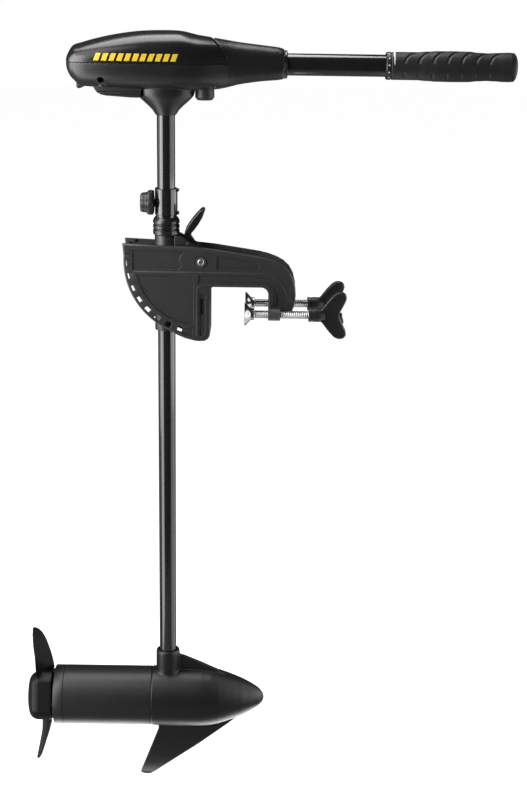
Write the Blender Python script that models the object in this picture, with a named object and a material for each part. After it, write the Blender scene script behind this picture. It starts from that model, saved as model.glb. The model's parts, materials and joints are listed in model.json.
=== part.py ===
"""A transom-mounted electric trolling motor, made as an assembly of separate pieces.

Lengths below are in millimetres; MM turns them into Blender's metres as each mesh is made.
+X points forward, the way the tiller points, and +Z is up. The origin is on the underside of
the bracket's bridge, where it rests on top of the boat's transom. Shapes are drawn around the
column: X is measured from the shaft's axis and Z from the tilt pivot, unless a comment says else.
"""

import math

import bmesh
import bpy
from mathutils import Vector

MM = 0.001
GAP = 0.3  # left between pieces that touch

# Main axes
SHAFT_X = -105.0  # shaft axis, from the origin
PIVOT_Z = 39.0  # tilt pivot, from the origin
PIVOT_X = 54.0  # tilt pivot, from the shaft axis
MOTOR_Z = -744.4
TILLER_Z = 296.0
CLAMP_Y = 40.0
CLAMP_Z = -77.5

# Transom bracket
BRACKET_HALF = 27.5
CHANNEL_HALF = 22.0
SECTOR_RADIUS = 118.5
WINDOW_RADIUS = 110.4
WINDOW_FIRST = -8.4  # degrees below the rearward horizontal
WINDOW_STEP = 10.2
WINDOW_COUNT = 9
WINDOW_SIZE = (9.0, 8.4)
WINDOW_FAR_END = 26.0
GROOVE_RADII = (96.5, 106.6)
GROOVE_DEPTH = 3.5
BRIDGE_Z = -39.0
SEAT_X = 69.0
ARM_X = 158.0
PIVOT_PIN_RADIUS = 5.0
BOSS_RADIUS = 9.5
BOSS_LENGTH = 19.0

# Clamp screws
SCREW_RADIUS = 6.25
PAD_X = 122.0
PAD_RADIUS = 17.5
HUB_X = 220.0
HUB_RADIUS = 10.5
HANDLE_END_X = 278.5

# Column
SHAFT_RADIUS = 13.75
SHAFT_WALL = 3.0
SHAFT_LENGTH = 914.0
SHAFT_TOP = 230.0
SLEEVE_RADIUS = 18.0
CARRIER_TOP = 38.0
CARRIER_BOTTOM = -112.0
CHEEK_INNER = 9.0
CHEEK_OUTER = 19.0
RING_RADIUS = 20.5
RING_TOP = 64.5
COLLAR_RADIUS = 17.3
COLLAR_TOP = 109.0
KNOB_Z = 86.5
KNOB_RADIUS = 20.0
LEVER_PIVOT = (33.0, 27.0)
LATCH_RADIUS = 101.0  # of the latch pin about the tilt pivot, drawn back
LATCH_PIN_RADIUS = 3.4

# Control head
SEAM_Z = 298.0
HEAD_WALL = 3.0
COVER_FRONT_X = 95.0
SLEEVE_END_X = 177.0
# Stations along the head: x, half width, top z, bottom z
HEAD_STATIONS = (
    (-145.5, 26, 306, 284),
    (-141, 36, 315, 275),
    (-136, 40, 320.6, 269.5),
    (-127, 44, 323.4, 262),
    (-110, 48, 328.4, 260),
    (-80, 52, 335.5, 259),
    (-40, 54, 341.4, 258),
    (0, 54, 343, 257),
    (24, 53, 342.1, 257),
    (45, 50, 337.5, 257),
    (60, 46, 335, 257.5),
    (78, 39, 332.5, 258.5),
    (96, 32, 329.7, 262.2),
    (111, 29, 327.4, 266),
    (140, 26, 324.1, 270.4),
    (168, 23.5, 320.8, 273),
    (SLEEVE_END_X, 22, 318, 275),
)
# Stations up the neck under the head: half length, half width, z
NECK_STATIONS = (
    (15.8, 15.8, 219),
    (17, 17, 222),
    (20, 18.5, 226.5),
    (27, 21.5, 233.5),
    (35, 25, 240.5),
    (41, 28, 246.5),
    (43.2, 30, 252),
    (43.5, 31, 263),
)
COVER_SCREWS = ((-92, -28, 262), (-92, 28, 262), (72, -22.5, 265.5), (72, 22.5, 265.5))  # x, y, floor z

# Tiller
TUBE_RADIUS = 16.25
TUBE_WALL = 2.6
TUBE_INNER_X = 100.0
TUBE_OUTER_X = 480.0
DIAL_X = 328.0
GRIP_X = 336.0
GRIP_END_X = 517.0
GRIP_RADIUS = 20.5
CAP_END_X = 525.0
ROD_RADIUS = 4.0
ROD_INNER_X = 112.0

# Lower unit: X from the shaft axis, Z and radii from the motor's axis
MOTOR_RADIUS = 49.0
MOTOR_BORE = 43.0
NOSE_SEAM_X = -26.4
REAR_SEAM_X = -172.6
REAR_END_X = -188.6
HUB_FRONT_X = -191.0
HUB_REAR_X = -232.0
HUB_PROP_RADIUS = 47.0
# Sections along a propeller blade: reach from the axis, chord, pitch in degrees, x of the middle, thickness
BLADE_SECTIONS = (
    (38, 54, 25, -204.5, 7),
    (62, 67, 15, -208, 5.5),
    (82, 66, 10.5, -211.5, 4.5),
    (98, 54, 10.5, -215.5, 3.5),
    (110, 36, 11, -219, 2.6),
    (120, 8, 12, -223, 1.8),
)
BOLT_OFFSET = 38.8
AXLE_RADIUS = 5.0
SOCKET_RADIUS = 19.5
SOCKET_TOP = 86.5


# Shape makers: each gives the points and faces of one closed shape


def along(axis, across, up, height):
    """A point at a height along an axis and two distances across it."""
    return {"X": (height, across, up), "Y": (across, height, up), "Z": (across, up, height)}[axis]


def turned(profile, axis="Z", sides=20, ring=False, centre=(0, 0, 0)):
    """A profile of (radius, height) points turned about an axis. A ring's profile closes on itself."""
    points = []
    rows = []
    for radius, height in profile:
        if radius == 0:
            rows.append([len(points)] * sides)
            points.append(along(axis, 0, 0, height))
            continue
        rows.append(list(range(len(points), len(points) + sides)))
        for step in range(sides):
            angle = 2 * math.pi * step / sides
            points.append(along(axis, radius * math.cos(angle), radius * math.sin(angle), height))
    pairs = list(zip(rows, rows[1:]))
    if ring:
        pairs.append((rows[-1], rows[0]))
    faces = []
    for low, high in pairs:
        for step in range(sides):
            after = (step + 1) % sides
            faces.append(tuple(dict.fromkeys((low[step], low[after], high[after], high[step]))))
    if not ring:
        faces += [tuple(row) for row in (rows[0], rows[-1]) if len(set(row)) > 1]
    return [Vector(point) + Vector(centre) for point in points], faces


def rod(radius, low, high, axis="Z", sides=12, centre=(0, 0, 0)):
    return turned([(radius, low), (radius, high)], axis, sides, centre=centre)


def pipe(inner, outer, low, high, axis="Z", sides=20, centre=(0, 0, 0)):
    profile = [(inner, low), (outer, low), (outer, high), (inner, high)]
    return turned(profile, axis, sides, ring=True, centre=centre)


def lofted(rings):
    """Rings with the same number of points, joined side by side and capped at both ends."""
    count = len(rings[0])
    points = [point for ring in rings for point in ring]
    faces = [tuple(range(count)), tuple(range(len(points) - count, len(points)))]
    for start in range(0, len(points) - count, count):
        for step in range(count):
            after = (step + 1) % count
            faces.append((start + step, start + after, start + count + after, start + count + step))
    return points, faces


def extruded(outline, low, high):
    """An outline of (x, z) points carried across from y = low to y = high."""
    return lofted([[(x, y, z) for x, z in outline] for y in (low, high)])


def block(low, high):
    (x0, y0, z0), (x1, y1, z1) = low, high
    return extruded([(x0, z0), (x1, z0), (x1, z1), (x0, z1)], y0, y1)


def combined(shapes):
    """Shapes that stay clear of each other, as one set of points and faces."""
    points = []
    faces = []
    for more_points, more_faces in shapes:
        start = len(points)
        points += more_points
        faces += [tuple(start + index for index in face) for face in more_faces]
    return points, faces


def arc(centre, radius, start, end, steps):
    """Points on a circle in the XZ plane; angles in degrees from +X towards +Z."""
    angles = [math.radians(start + (end - start) * step / steps) for step in range(steps + 1)]
    return [(centre[0] + radius * math.cos(a), centre[1] + radius * math.sin(a)) for a in angles]


def about_pivot(radius, below):
    """The (x, z) point at a radius about the tilt pivot, at an angle below the rearward horizontal."""
    angle = math.radians(below)
    return PIVOT_X - radius * math.cos(angle), -radius * math.sin(angle)


# Objects


def clear_scene():
    for obj in list(bpy.data.objects):
        bpy.data.objects.remove(obj, do_unlink=True)


def finish(name, colour, roughness, metallic=0.0):
    made = bpy.data.materials.new(name)
    made.use_nodes = True
    shader = made.node_tree.nodes["Principled BSDF"]
    shader.inputs["Base Color"].default_value = (*colour, 1)
    shader.inputs["Roughness"].default_value = roughness
    shader.inputs["Metallic"].default_value = metallic
    return made


def axis_empty(name, place, parent=None):
    obj = bpy.data.objects.new(name, None)
    bpy.context.scene.collection.objects.link(obj)
    obj.location = Vector(place) * MM
    obj.parent = parent
    return obj


def add(name, shape, material, parent, at=(0, 0, 0)):
    """A new object from a shape's points and faces, smooth where its faces meet at a small angle."""
    points, faces = shape
    mesh = bpy.data.meshes.new(name)
    mesh.from_pydata([Vector(point) * MM for point in points], [], faces)
    shell = bmesh.new()
    shell.from_mesh(mesh)
    bmesh.ops.recalc_face_normals(shell, faces=shell.faces)
    shell.to_mesh(mesh)
    shell.free()
    mesh.shade_smooth()
    mesh.set_sharp_from_angle(angle=math.radians(35))
    mesh.materials.append(material)
    obj = bpy.data.objects.new(name, mesh)
    bpy.context.scene.collection.objects.link(obj)
    obj.parent = parent
    obj.location = Vector(at) * MM
    return obj


def combine(obj, shape, operation):
    """Cuts a shape from an object (DIFFERENCE) or joins it on (UNION)."""
    helper_name = f"{obj.name}_{operation.lower()}_{len(obj.modifiers) + 1}"
    helper = add(helper_name, shape, obj.data.materials[0], obj.parent)
    helper.location = obj.location
    helper.hide_render = True
    helper.display_type = "WIRE"
    modifier = obj.modifiers.new(helper_name, "BOOLEAN")
    modifier.operation = operation
    modifier.solver = "EXACT"
    modifier.object = helper


def cut(obj, *shapes):
    for shape in shapes:
        combine(obj, shape, "DIFFERENCE")


def join(obj, *shapes):
    for shape in shapes:
        combine(obj, shape, "UNION")


# Transom bracket


def bracket_outline():
    """The side view of the bracket: index sector behind, jaw leg, bridge and clamp arm."""
    top = [(-66, 27), (-8, 24.5), (47, 22.5), (99, 16), (145, 9.5), (165, 4)]
    outer = [(180, -3), (191, -14), (198, -28), (200.5, -42), (200.5, -56), (198, -70), (194, -78)]
    jaw = [(ARM_X, -78)] + arc((ARM_X - 11, BRIDGE_Z - 11), 11, 0, 90, 4)
    seat = arc((SEAT_X + 5, BRIDGE_Z - 5), 5, 90, 180, 3) + [(SEAT_X, -112)]
    foot = [(66, -121), (60, -124.5), (45, -124.4), (30, -120.5), (17, -115)]
    sector = [about_pivot(SECTOR_RADIUS, below) for below in range(68, -4, -8)]
    return top + outer + jaw + seat + foot + sector


def channel_outline():
    """The open space between the side plates: behind the leg, over the bridge and outside the arm's web."""
    floor = [(56, -31), (148, -31), (158, -35), (164, -43), (165.5, -52), (165.5, -67)]
    return [(-95, 60), (-95, -140), (56, -140)] + floor + [(215, -67), (215, 60)]


def window_cutters():
    """The index windows: right through the right plate, and blind sockets in the left one."""
    across, deep = WINDOW_SIZE
    shapes = []
    for number in range(WINDOW_COUNT):
        below = WINDOW_FIRST + WINDOW_STEP * number
        half_angle = math.degrees(across / 2 / WINDOW_RADIUS)
        near, far = WINDOW_RADIUS - deep / 2, WINDOW_RADIUS + deep / 2
        corners = [(near, -1), (far, -1), (far, 1), (near, 1)]
        outline = [about_pivot(radius, below + side * half_angle) for radius, side in corners]
        shapes.append(extruded(outline, -60, WINDOW_FAR_END))
    return combined(shapes)


def groove_cutters():
    """The arc on each plate's inner face that the latch pin's ends run in between the windows."""
    near, far = GROOVE_RADII
    steps = range(-14, 84, 6)
    outline = [about_pivot(far, below) for below in steps]
    outline += [about_pivot(near, below) for below in reversed(steps)]
    inside, outside = CHANNEL_HALF - 1, CHANNEL_HALF + GROOVE_DEPTH
    return combined([extruded(outline, -outside, -inside), extruded(outline, inside, outside)])


def make_bracket(parent, black, steel):
    bracket = add("transom_bracket", extruded(bracket_outline(), -BRACKET_HALF, BRACKET_HALF), black, parent)
    cut(bracket, extruded(channel_outline(), -CHANNEL_HALF, CHANNEL_HALF))
    bar_end = ARM_X + BOSS_LENGTH - 1
    join(bracket, block((ARM_X + 1, -CLAMP_Y, CLAMP_Z - 6), (bar_end, CLAMP_Y, -70)))
    bore = SCREW_RADIUS + 0.35
    for side in (-1, 1):
        centre = (0, side * CLAMP_Y, CLAMP_Z)
        join(bracket, rod(BOSS_RADIUS, ARM_X, ARM_X + BOSS_LENGTH, "X", 20, centre))
        cut(bracket, rod(bore, ARM_X - 5, ARM_X + BOSS_LENGTH + 5, "X", 20, centre))
    cut(bracket, groove_cutters(), window_cutters())
    cut(bracket, rod(PIVOT_PIN_RADIUS + 0.2, -40, 40, "Y", 16, (PIVOT_X, 0, 0)))
    pin = [(PIVOT_PIN_RADIUS, -28.5), (PIVOT_PIN_RADIUS, 27.8), (8, 27.8), (8, 31), (0, 31)]
    add("pivot_pin", turned([(0, -28.5)] + pin, "Y", 16), steel, parent, (PIVOT_X, 0, 0))
    clip = pipe(PIVOT_PIN_RADIUS + GAP, 8, -29.0, -27.8, "Y", 16)
    add("pivot_pin_clip", clip, steel, parent, (PIVOT_X, 0, 0))


def handle_outline():
    """The two-winged clamp handle, seen from the side; Z from the screw's axis."""
    upper = [(239, 10), (246, 18), (255, 29), (262, 35), (270, 36.5), (276, 34.5), (HANDLE_END_X, 29), (276, 20), (266, 6)]
    nub = [(269, 3), (269, -3)]
    lower = [(x, -z) for x, z in reversed(upper)]
    return upper + nub + lower


def make_clamp(side, name, frame, black, metal):
    axis = axis_empty(f"{name}_clamp_axis", (0, side * CLAMP_Y, CLAMP_Z), frame)
    screw_end = HUB_X + 12
    add(f"{name}_clamp_screw", rod(SCREW_RADIUS, PAD_X + 8.5, screw_end, "X", 20), metal, axis)
    cup = [(PAD_RADIUS, PAD_X), (8.8, PAD_X + 9), (8.8, PAD_X + 15), (SCREW_RADIUS + 0.35, PAD_X + 15)]
    cup += [(SCREW_RADIUS + 0.35, PAD_X + 8), (16, PAD_X)]
    add(f"{name}_clamp_pad", turned(cup, "X", 20, ring=True), metal, axis)
    handle = add(f"{name}_clamp_handle", extruded(handle_outline(), -6, 6), black, axis)
    hub = [(0, HUB_X), (HUB_RADIUS, HUB_X), (HUB_RADIUS, HUB_X + 19), (8, HUB_X + 26), (0, HUB_X + 26)]
    join(handle, turned(hub, "X", 16))
    cut(handle, rod(SCREW_RADIUS + GAP, HUB_X - 5, screw_end + GAP, "X", 20))


# Hinge carrier, latch and depth collar


def cheek_outline():
    """One side arm of the carrier, from the sleeve to the tilt pivot and down to the latch."""
    eye = arc((PIVOT_X, 0), 13, 60, -110, 7)
    return [(13, CARRIER_TOP), (21, CARRIER_TOP), (50, 22)] + eye + [(33, -40), (33, CARRIER_BOTTOM), (13, CARRIER_BOTTOM)]


def latch_direction():
    """The way the latch pin goes out into the lowest window, from the tilt pivot."""
    x, z = about_pivot(1, WINDOW_FIRST + WINDOW_STEP * (WINDOW_COUNT - 1))
    return x - PIVOT_X, z


def latch_place(radius):
    out_x, out_z = latch_direction()
    return PIVOT_X + out_x * radius, out_z * radius


def strip(start, end, half):
    """A straight bar's outline between two (x, z) points."""
    run = Vector(end) - Vector(start)
    side = Vector((-run.y, run.x)).normalized() * half
    corners = (Vector(start) + side, Vector(end) + side, Vector(end) - side, Vector(start) - side)
    return [tuple(corner) for corner in corners]


def make_carrier(parent, black, plain, steel):
    """Everything that tilts with the shaft but doesn't steer. The parent is on the tilt pivot."""
    at = (-PIVOT_X, 0, 0)
    bore = SHAFT_RADIUS + 1.5
    neck = 16.9
    profile = [(bore, CARRIER_BOTTOM), (SLEEVE_RADIUS, CARRIER_BOTTOM), (SLEEVE_RADIUS, CARRIER_TOP)]
    profile += [(neck, CARRIER_TOP), (neck, 56), (bore, 56)]
    carrier = add("hinge_carrier", turned(profile, "Z", 24, ring=True), black, parent, at)
    for side in (-1, 1):
        low, high = sorted((side * CHEEK_INNER, side * CHEEK_OUTER))
        join(carrier, extruded(cheek_outline(), low, high))
    join(carrier, block((16.5, -CHEEK_INNER - 2, CARRIER_BOTTOM + 1), (32, CHEEK_INNER + 2, -88)))
    cut(carrier, block((SLEEVE_RADIUS + GAP, -4, -130), (45, 4, -80)))
    cut(carrier, extruded(strip(latch_place(LATCH_RADIUS - 4), latch_place(125), LATCH_PIN_RADIUS + 0.4), -30, 30))
    cut(carrier, rod(PIVOT_PIN_RADIUS + 0.2, -40, 40, "Y", 16, (PIVOT_X, 0, 0)))
    cut(carrier, rod(2.3, -30, 30, "Y", 12, (LEVER_PIVOT[0], 0, LEVER_PIVOT[1])))
    lining = (SHAFT_RADIUS + GAP, bore - 0.2)
    add("upper_shaft_bushing", pipe(*lining, 8, 55), plain, parent, at)
    add("lower_shaft_bushing", pipe(*lining, -110, -80), plain, parent, at)
    add("lever_pin", rod(2.0, -19.5, 19.5, "Y", 12, (LEVER_PIVOT[0], 0, LEVER_PIVOT[1])), steel, parent, at)


def make_tension_ring(parent, black):
    """Squeezes the carrier's split neck, to set how stiffly the column steers."""
    neck = 17.2
    top_bore = SHAFT_RADIUS + 0.5
    profile = [(neck, CARRIER_TOP + GAP), (RING_RADIUS, CARRIER_TOP + GAP), (RING_RADIUS, 60), (18, RING_TOP)]
    profile += [(top_bore, RING_TOP), (top_bore, 57), (neck, 57)]
    add("steering_tension_ring", turned(profile, "Z", 24, ring=True), black, parent)


def make_lever(parent, black):
    """The tilt release lever. Its parent is on the lever's own pin."""
    at = (-LEVER_PIVOT[0], 0, -LEVER_PIVOT[1])
    foot = [(27, 27), (28, 40), (31, 50), (38, 48), (38.5, 36), (44, 28), (50, 24.5), (48, 19.5), (40, 20.5), (33, 21)]
    paddle = [(29, 44), (34, 54), (41, 64), (53, 77.5), (57.5, 79), (59.5, 76), (51, 57), (38, 40)]
    lever = add("release_lever", extruded(foot, -6.5, 6.5), black, parent, at)
    join(lever, extruded(paddle, -12, 12))
    cut(lever, rod(2.3, -30, 30, "Y", 12, (LEVER_PIVOT[0], 0, LEVER_PIVOT[1])))


def make_latch(parent, steel):
    """The cross pin that locks the tilt, and the bar that the lever pushes it with."""
    at = (-PIVOT_X, 0, 0)
    x, z = latch_place(LATCH_RADIUS)
    add("latch_pin", rod(LATCH_PIN_RADIUS, -25, 25, "Y", 16, (x, 0, z)), steel, parent, at)
    foot = latch_place(LATCH_RADIUS - LATCH_PIN_RADIUS - GAP)
    add("latch_bar", extruded(strip(foot, (45.5, 12), 2.8), -2.5, 2.5), steel, parent, at)


def lobed_ring(x, radius, lobes=6, depth=0.1, count=36):
    """A knob's section: a circle with shallow hollows for the fingers."""
    points = []
    for step in range(count):
        angle = 2 * math.pi * step / count
        reach = radius * (1 - depth * (0.5 - 0.5 * math.cos(lobes * angle)))
        points.append((x, reach * math.cos(angle), reach * math.sin(angle)))
    return points


def make_collar(parent, knob_parent, black):
    """The collar that holds the column at its depth, and the knob that tightens it on the shaft."""
    bore = SHAFT_RADIUS + 0.35
    profile = [(bore, RING_TOP + 0.5), (16.2, RING_TOP + 0.5), (16.2, 68), (COLLAR_RADIUS, 68)]
    profile += [(COLLAR_RADIUS, COLLAR_TOP), (bore, COLLAR_TOP)]
    collar = add("depth_collar", turned(profile, "Z", 24, ring=True), black, parent)
    for low in (69, COLLAR_TOP - 5):
        join(collar, block((16, -7, low), (19.6, 7, low + 4)))
    join(collar, rod(7, -20.8, -15.5, "X", 16, (0, 0, KNOB_Z)))
    cut(collar, rod(3.4, -30, -5, "X", 16, (0, 0, KNOB_Z)))
    sections = ((-39.5, 12), (-38.3, 15), (-30, 16.5), (-28, KNOB_RADIUS), (-20, KNOB_RADIUS), (-18.8, 18.6))
    knob = add("depth_collar_knob", lofted([lobed_ring(x, r) for x, r in sections]), black, knob_parent)
    cut(knob, rod(7.6, -21.2, -10, "X", 16))
    join(knob, rod(3.0, -30, -14.5, "X", 12))


# Control head


def head_ring(x, half_width, top, bottom, inset, count=20):
    """A rounded cross-section of the head, wider than an ellipse, drawn in by a wall thickness."""
    points = []
    for step in range(count):
        angle = 2 * math.pi * step / count
        across, up = math.cos(angle), math.sin(angle)
        height = (top if up > 0 else 2 * SEAM_Z - bottom) - SEAM_Z - inset
        y = math.copysign(abs(across) ** 0.8, across) * (half_width - inset)
        points.append((x, y, SEAM_Z + math.copysign(abs(up) ** 0.8, up) * height))
    return points


def head_solid():
    return lofted([head_ring(*station, 0) for station in HEAD_STATIONS])


def head_cavity():
    stations = [station for station in HEAD_STATIONS if -142 < station[0] < COVER_FRONT_X + 5]
    return lofted([head_ring(*station, HEAD_WALL) for station in stations])


def head_neck():
    """The flare from the shaft into the head, longer than it is wide."""
    turns = [2 * math.pi * step / 20 for step in range(20)]
    return lofted([[(long * math.cos(a), wide * math.sin(a), z) for a in turns] for long, wide, z in NECK_STATIONS])


def make_head(parent, black, satin, steel, dark):
    shaft_bore = SHAFT_RADIUS + GAP
    lower = add("head_lower_housing", head_solid(), black, parent)
    cut(lower, block((-200, -80, SEAM_Z - 0.1), (COVER_FRONT_X + 0.15, 80, 400)))
    join(lower, head_neck())
    cut(lower, head_cavity())
    cut(lower, rod(shaft_bore, 200, SHAFT_TOP + GAP, "Z", 20), rod(10, 210, 280, "Z", 20))
    cut(lower, rod(TUBE_RADIUS + GAP, 90, 200, "X", 20, (0, 0, TILLER_Z)))
    cover = add("head_top_cover", head_solid(), satin, parent)
    cut(cover, block((-200, -80, 200), (300, 80, SEAM_Z + 0.2)))
    cut(cover, block((COVER_FRONT_X - 0.15, -80, 200), (300, 80, 400)), head_cavity())
    for number, (x, y, floor) in enumerate(COVER_SCREWS, 1):
        boss_top = 272
        post_top = 327 if x < 0 else 330
        join(lower, rod(6.5, floor, boss_top, "Z", 12, (x, y, 0)))
        hole = [(0, 240), (4.4, 240), (4.4, floor + 3.3), (2.3, floor + 3.3), (2.3, 280), (0, 280)]
        cut(lower, turned(hole, "Z", 10, centre=(x, y, 0)))
        join(cover, rod(5, boss_top + GAP, post_top, "Z", 12, (x, y, 0)))
        cut(cover, rod(2.3, 260, 291, "Z", 10, (x, y, 0)))
        head = [(0, floor + 0.5), (4, floor + 0.5), (4, floor + 3), (2, floor + 3)]
        add(f"cover_screw_{number}", turned(head + [(2, 289), (0, 289)], "Z", 8), steel, parent, (x, y, 0))
    slab = [(-104, 257.6), (-101, 253), (-95, 250), (-88, 248.5), (-50.5, 246), (-50.5, 257.6)]
    add("underside_plate", extruded(slab, -24, 24), dark, parent)
    gland = [(4.5, 242), (12, 242), (14.5, 245), (14.5, 256.2), (4.5, 256.2)]
    add("lead_gland", turned(gland, "Z", 20, ring=True), dark, parent, (58.5, 0, 0))
    bezel = [(TUBE_RADIUS + GAP, SLEEVE_END_X + GAP), (21, SLEEVE_END_X + GAP), (19.5, 182), (TUBE_RADIUS + GAP, 182)]
    add("tiller_bezel", turned(bezel, "X", 20, ring=True), dark, parent, (0, 0, TILLER_Z))


def make_switch(parent, rotor_parent, dark, plain):
    """The speed switch in the head and the sleeve that the tiller's rod turns it with."""
    switch = add("speed_switch", block((-104, -20, 276), (-62, 20, 316)), dark, parent)
    cut(switch, rod(7.5, -80, -50, "X", 16, (0, 0, TILLER_Z)))
    rotor = add("switch_rotor", rod(7, -78, 118, "X", 12), plain, rotor_parent)
    cut(rotor, rod(ROD_RADIUS + 0.4, -48, 130, "X", 12))


def make_tiller(tube_parent, grip_parent, black, gloss, rubber, steel):
    tube = pipe(TUBE_RADIUS - TUBE_WALL, TUBE_RADIUS, TUBE_INNER_X, TUBE_OUTER_X, "X", 24)
    add("tiller_tube", tube, gloss, tube_parent)
    bore = TUBE_RADIUS + GAP
    dial = [(bore, DIAL_X), (18.5, DIAL_X), (GRIP_RADIUS, DIAL_X + 1.5), (GRIP_RADIUS, GRIP_X - GAP), (bore, GRIP_X - GAP)]
    add("speed_dial_ring", turned(dial, "X", 20, ring=True), black, tube_parent)
    add("grip_core", pipe(bore, 17.9, GRIP_X, GRIP_END_X - GAP, "X", 24), black, grip_parent)
    sleeve = [(18.2, GRIP_X), (GRIP_RADIUS, GRIP_X), (GRIP_RADIUS, 375), (22.5, 405), (22.5, 455)]
    sleeve += [(GRIP_RADIUS, 480), (GRIP_RADIUS, 500), (21.5, GRIP_END_X - GAP), (18.2, GRIP_END_X - GAP)]
    add("grip_sleeve", turned(sleeve, "X", 20, ring=True), rubber, grip_parent)
    cap = [(0, 500), (13, 500), (13, GRIP_END_X), (21.5, GRIP_END_X), (19, 521), (12, 524), (0, CAP_END_X)]
    cap_object = add("grip_end_cap", turned(cap, "X", 16), black, grip_parent)
    cut(cap_object, rod(ROD_RADIUS + GAP, 490, 512, "X", 12))
    add("drive_rod", rod(ROD_RADIUS, ROD_INNER_X, 511, "X", 12), steel, grip_parent)


# Lower unit


def nose_profile():
    """From the bearing pocket out round the open rear edge and forward to the point."""
    inside = [(0, 64), (11.3, 64), (11.3, 52), (20, 48), (35, 44), (35, -18), (MOTOR_BORE, -18)]
    rear_edge = [(MOTOR_BORE, NOSE_SEAM_X + GAP), (44.6, NOSE_SEAM_X + GAP), (44.6, NOSE_SEAM_X + 2.4)]
    rear_edge += [(47.0, NOSE_SEAM_X + 2.4), (47.0, NOSE_SEAM_X + GAP), (49.5, NOSE_SEAM_X + GAP)]
    outside = [(49.8, 20), (49.4, 55), (47.5, 72), (41, 97), (36.3, 110), (30.7, 124), (24.2, 137)]
    point = [(16.4, 150), (9, 157), (0, 160.5)]
    return inside + rear_edge + outside + point


def make_housings(parent, black, rubber):
    nose = add("nose_housing", turned(nose_profile(), "X", 20), black, parent)
    gusset = [(12, 34), (12, 76), (26.6, 74.4), (83, 49.3), (100, 39), (100, 34)]
    skeg = [(-17, -44), (-17, -61.6), (-47, -142), (-44, -145.5), (-30, -146.5), (52, -88.5), (128, -27), (118, -20)]
    socket = [(SOCKET_RADIUS, 40), (SOCKET_RADIUS, 80), (17.5, SOCKET_TOP)]
    join(nose, turned(socket, "Z", 20), extruded(gusset, -4, 4), extruded(skeg, -3, 3))
    seat = SHAFT_TOP - SHAFT_LENGTH - MOTOR_Z
    cut(nose, rod(SHAFT_RADIUS + GAP, seat - GAP, 100, "Z", 20), rod(8, 20, 80, "Z", 12))
    cut(nose, *[rod(2.8, -40, 0, "X", 12, (0, side * BOLT_OFFSET, 0)) for side in (-1, 1)])
    tube = pipe(MOTOR_BORE, MOTOR_RADIUS, REAR_SEAM_X + GAP, NOSE_SEAM_X, "X", 20)
    add("motor_center_housing", tube, black, parent)
    face = REAR_SEAM_X
    rear = [(AXLE_RADIUS + 0.4, -188.3), (47.8, REAR_END_X), (MOTOR_RADIUS, -187.4), (MOTOR_RADIUS, face)]
    rear += [(47.0, face), (47.0, face - 2.1), (44.6, face - 2.1), (44.6, face), (30, face), (30, -178)]
    rear += [(11.3, -178), (11.3, -187.0), (AXLE_RADIUS + 0.4, -187.0)]
    end = add("rear_end_housing", turned(rear, "X", 20, ring=True), black, parent)
    bolt_hole = [(0, -200), (4.8, -200), (4.8, -184), (2.8, -184), (2.8, -160), (0, -160)]
    for side in (-1, 1):
        cut(end, turned(bolt_hole, "X", 12, centre=(0, side * BOLT_OFFSET, 0)))
    for name, x in (("front_o_ring", NOSE_SEAM_X + 1.3), ("rear_o_ring", face - 1.0)):
        hoop = [(45.8 + 0.9 * math.cos(a), x + 0.9 * math.sin(a)) for a in (0, 1.2566, 2.5133, 3.7699, 5.0265)]
        add(name, turned(hoop, "X", 20, ring=True), rubber, parent)


def magnet_outline(inner, outer, spread, steps=6):
    low, high = 90 - spread, 90 + spread
    return arc((0, 0), outer, low, high, steps) + arc((0, 0), inner, high, low, steps)


def make_motor(parent, dark, steel, copper, plain):
    """What stays still inside the motor housings."""
    for name, side in (("upper_magnet", 1), ("lower_magnet", -1)):
        rings = [[(x, y, side * z) for y, z in magnet_outline(33, 42.4, 58)] for x in (-130, -45)]
        add(name, lofted(rings), dark, parent)
    plate = add("brush_plate", pipe(16.5, 35, -160, -157, "X", 20), plain, parent)
    cut(plate, *[block((-170, side * 28 - 2, -6), (-150, side * 28 + 2, 6)) for side in (-1, 1)])
    for name, side in (("left_brush", 1), ("right_brush", -1)):
        low, high = sorted((side * 14.6, side * 25))
        add(name, block((-156.5, low, -4), (-148, high, 4)), copper, parent)
    add("front_bearing", pipe(AXLE_RADIUS + 0.3, 11, 52.5, 60.5, "X", 16), steel, parent)
    add("rear_bearing", pipe(AXLE_RADIUS + 0.3, 11, -183, -178.3, "X", 16), steel, parent)
    add("shaft_seal", pipe(AXLE_RADIUS + 0.3, 11, -186.7, -183.3, "X", 16), dark, parent)
    bolt = [(0, -188), (4.4, -188), (4.4, -184.3), (2.4, -184.3), (2.4, -2), (0, -2)]
    for name, side in (("left_through_bolt", 1), ("right_through_bolt", -1)):
        add(name, turned(bolt, "X", 10), steel, parent, (0, side * BOLT_OFFSET, 0))


def blade_ring(reach, chord, pitch, centre_x, thick, count=12):
    """A lens-shaped section of a propeller blade, at a distance from the motor's axis. Pitch in degrees."""
    lean = math.radians(pitch)
    points = []
    for step in range(count):
        angle = 2 * math.pi * step / count
        along_chord = chord / 2 * math.cos(angle)
        across = thick / 2 * math.sin(angle)
        x = along_chord * math.sin(lean) + across * math.cos(lean)
        y = along_chord * math.cos(lean) - across * math.sin(lean)
        points.append((centre_x + x, y, reach))
    return points


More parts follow.
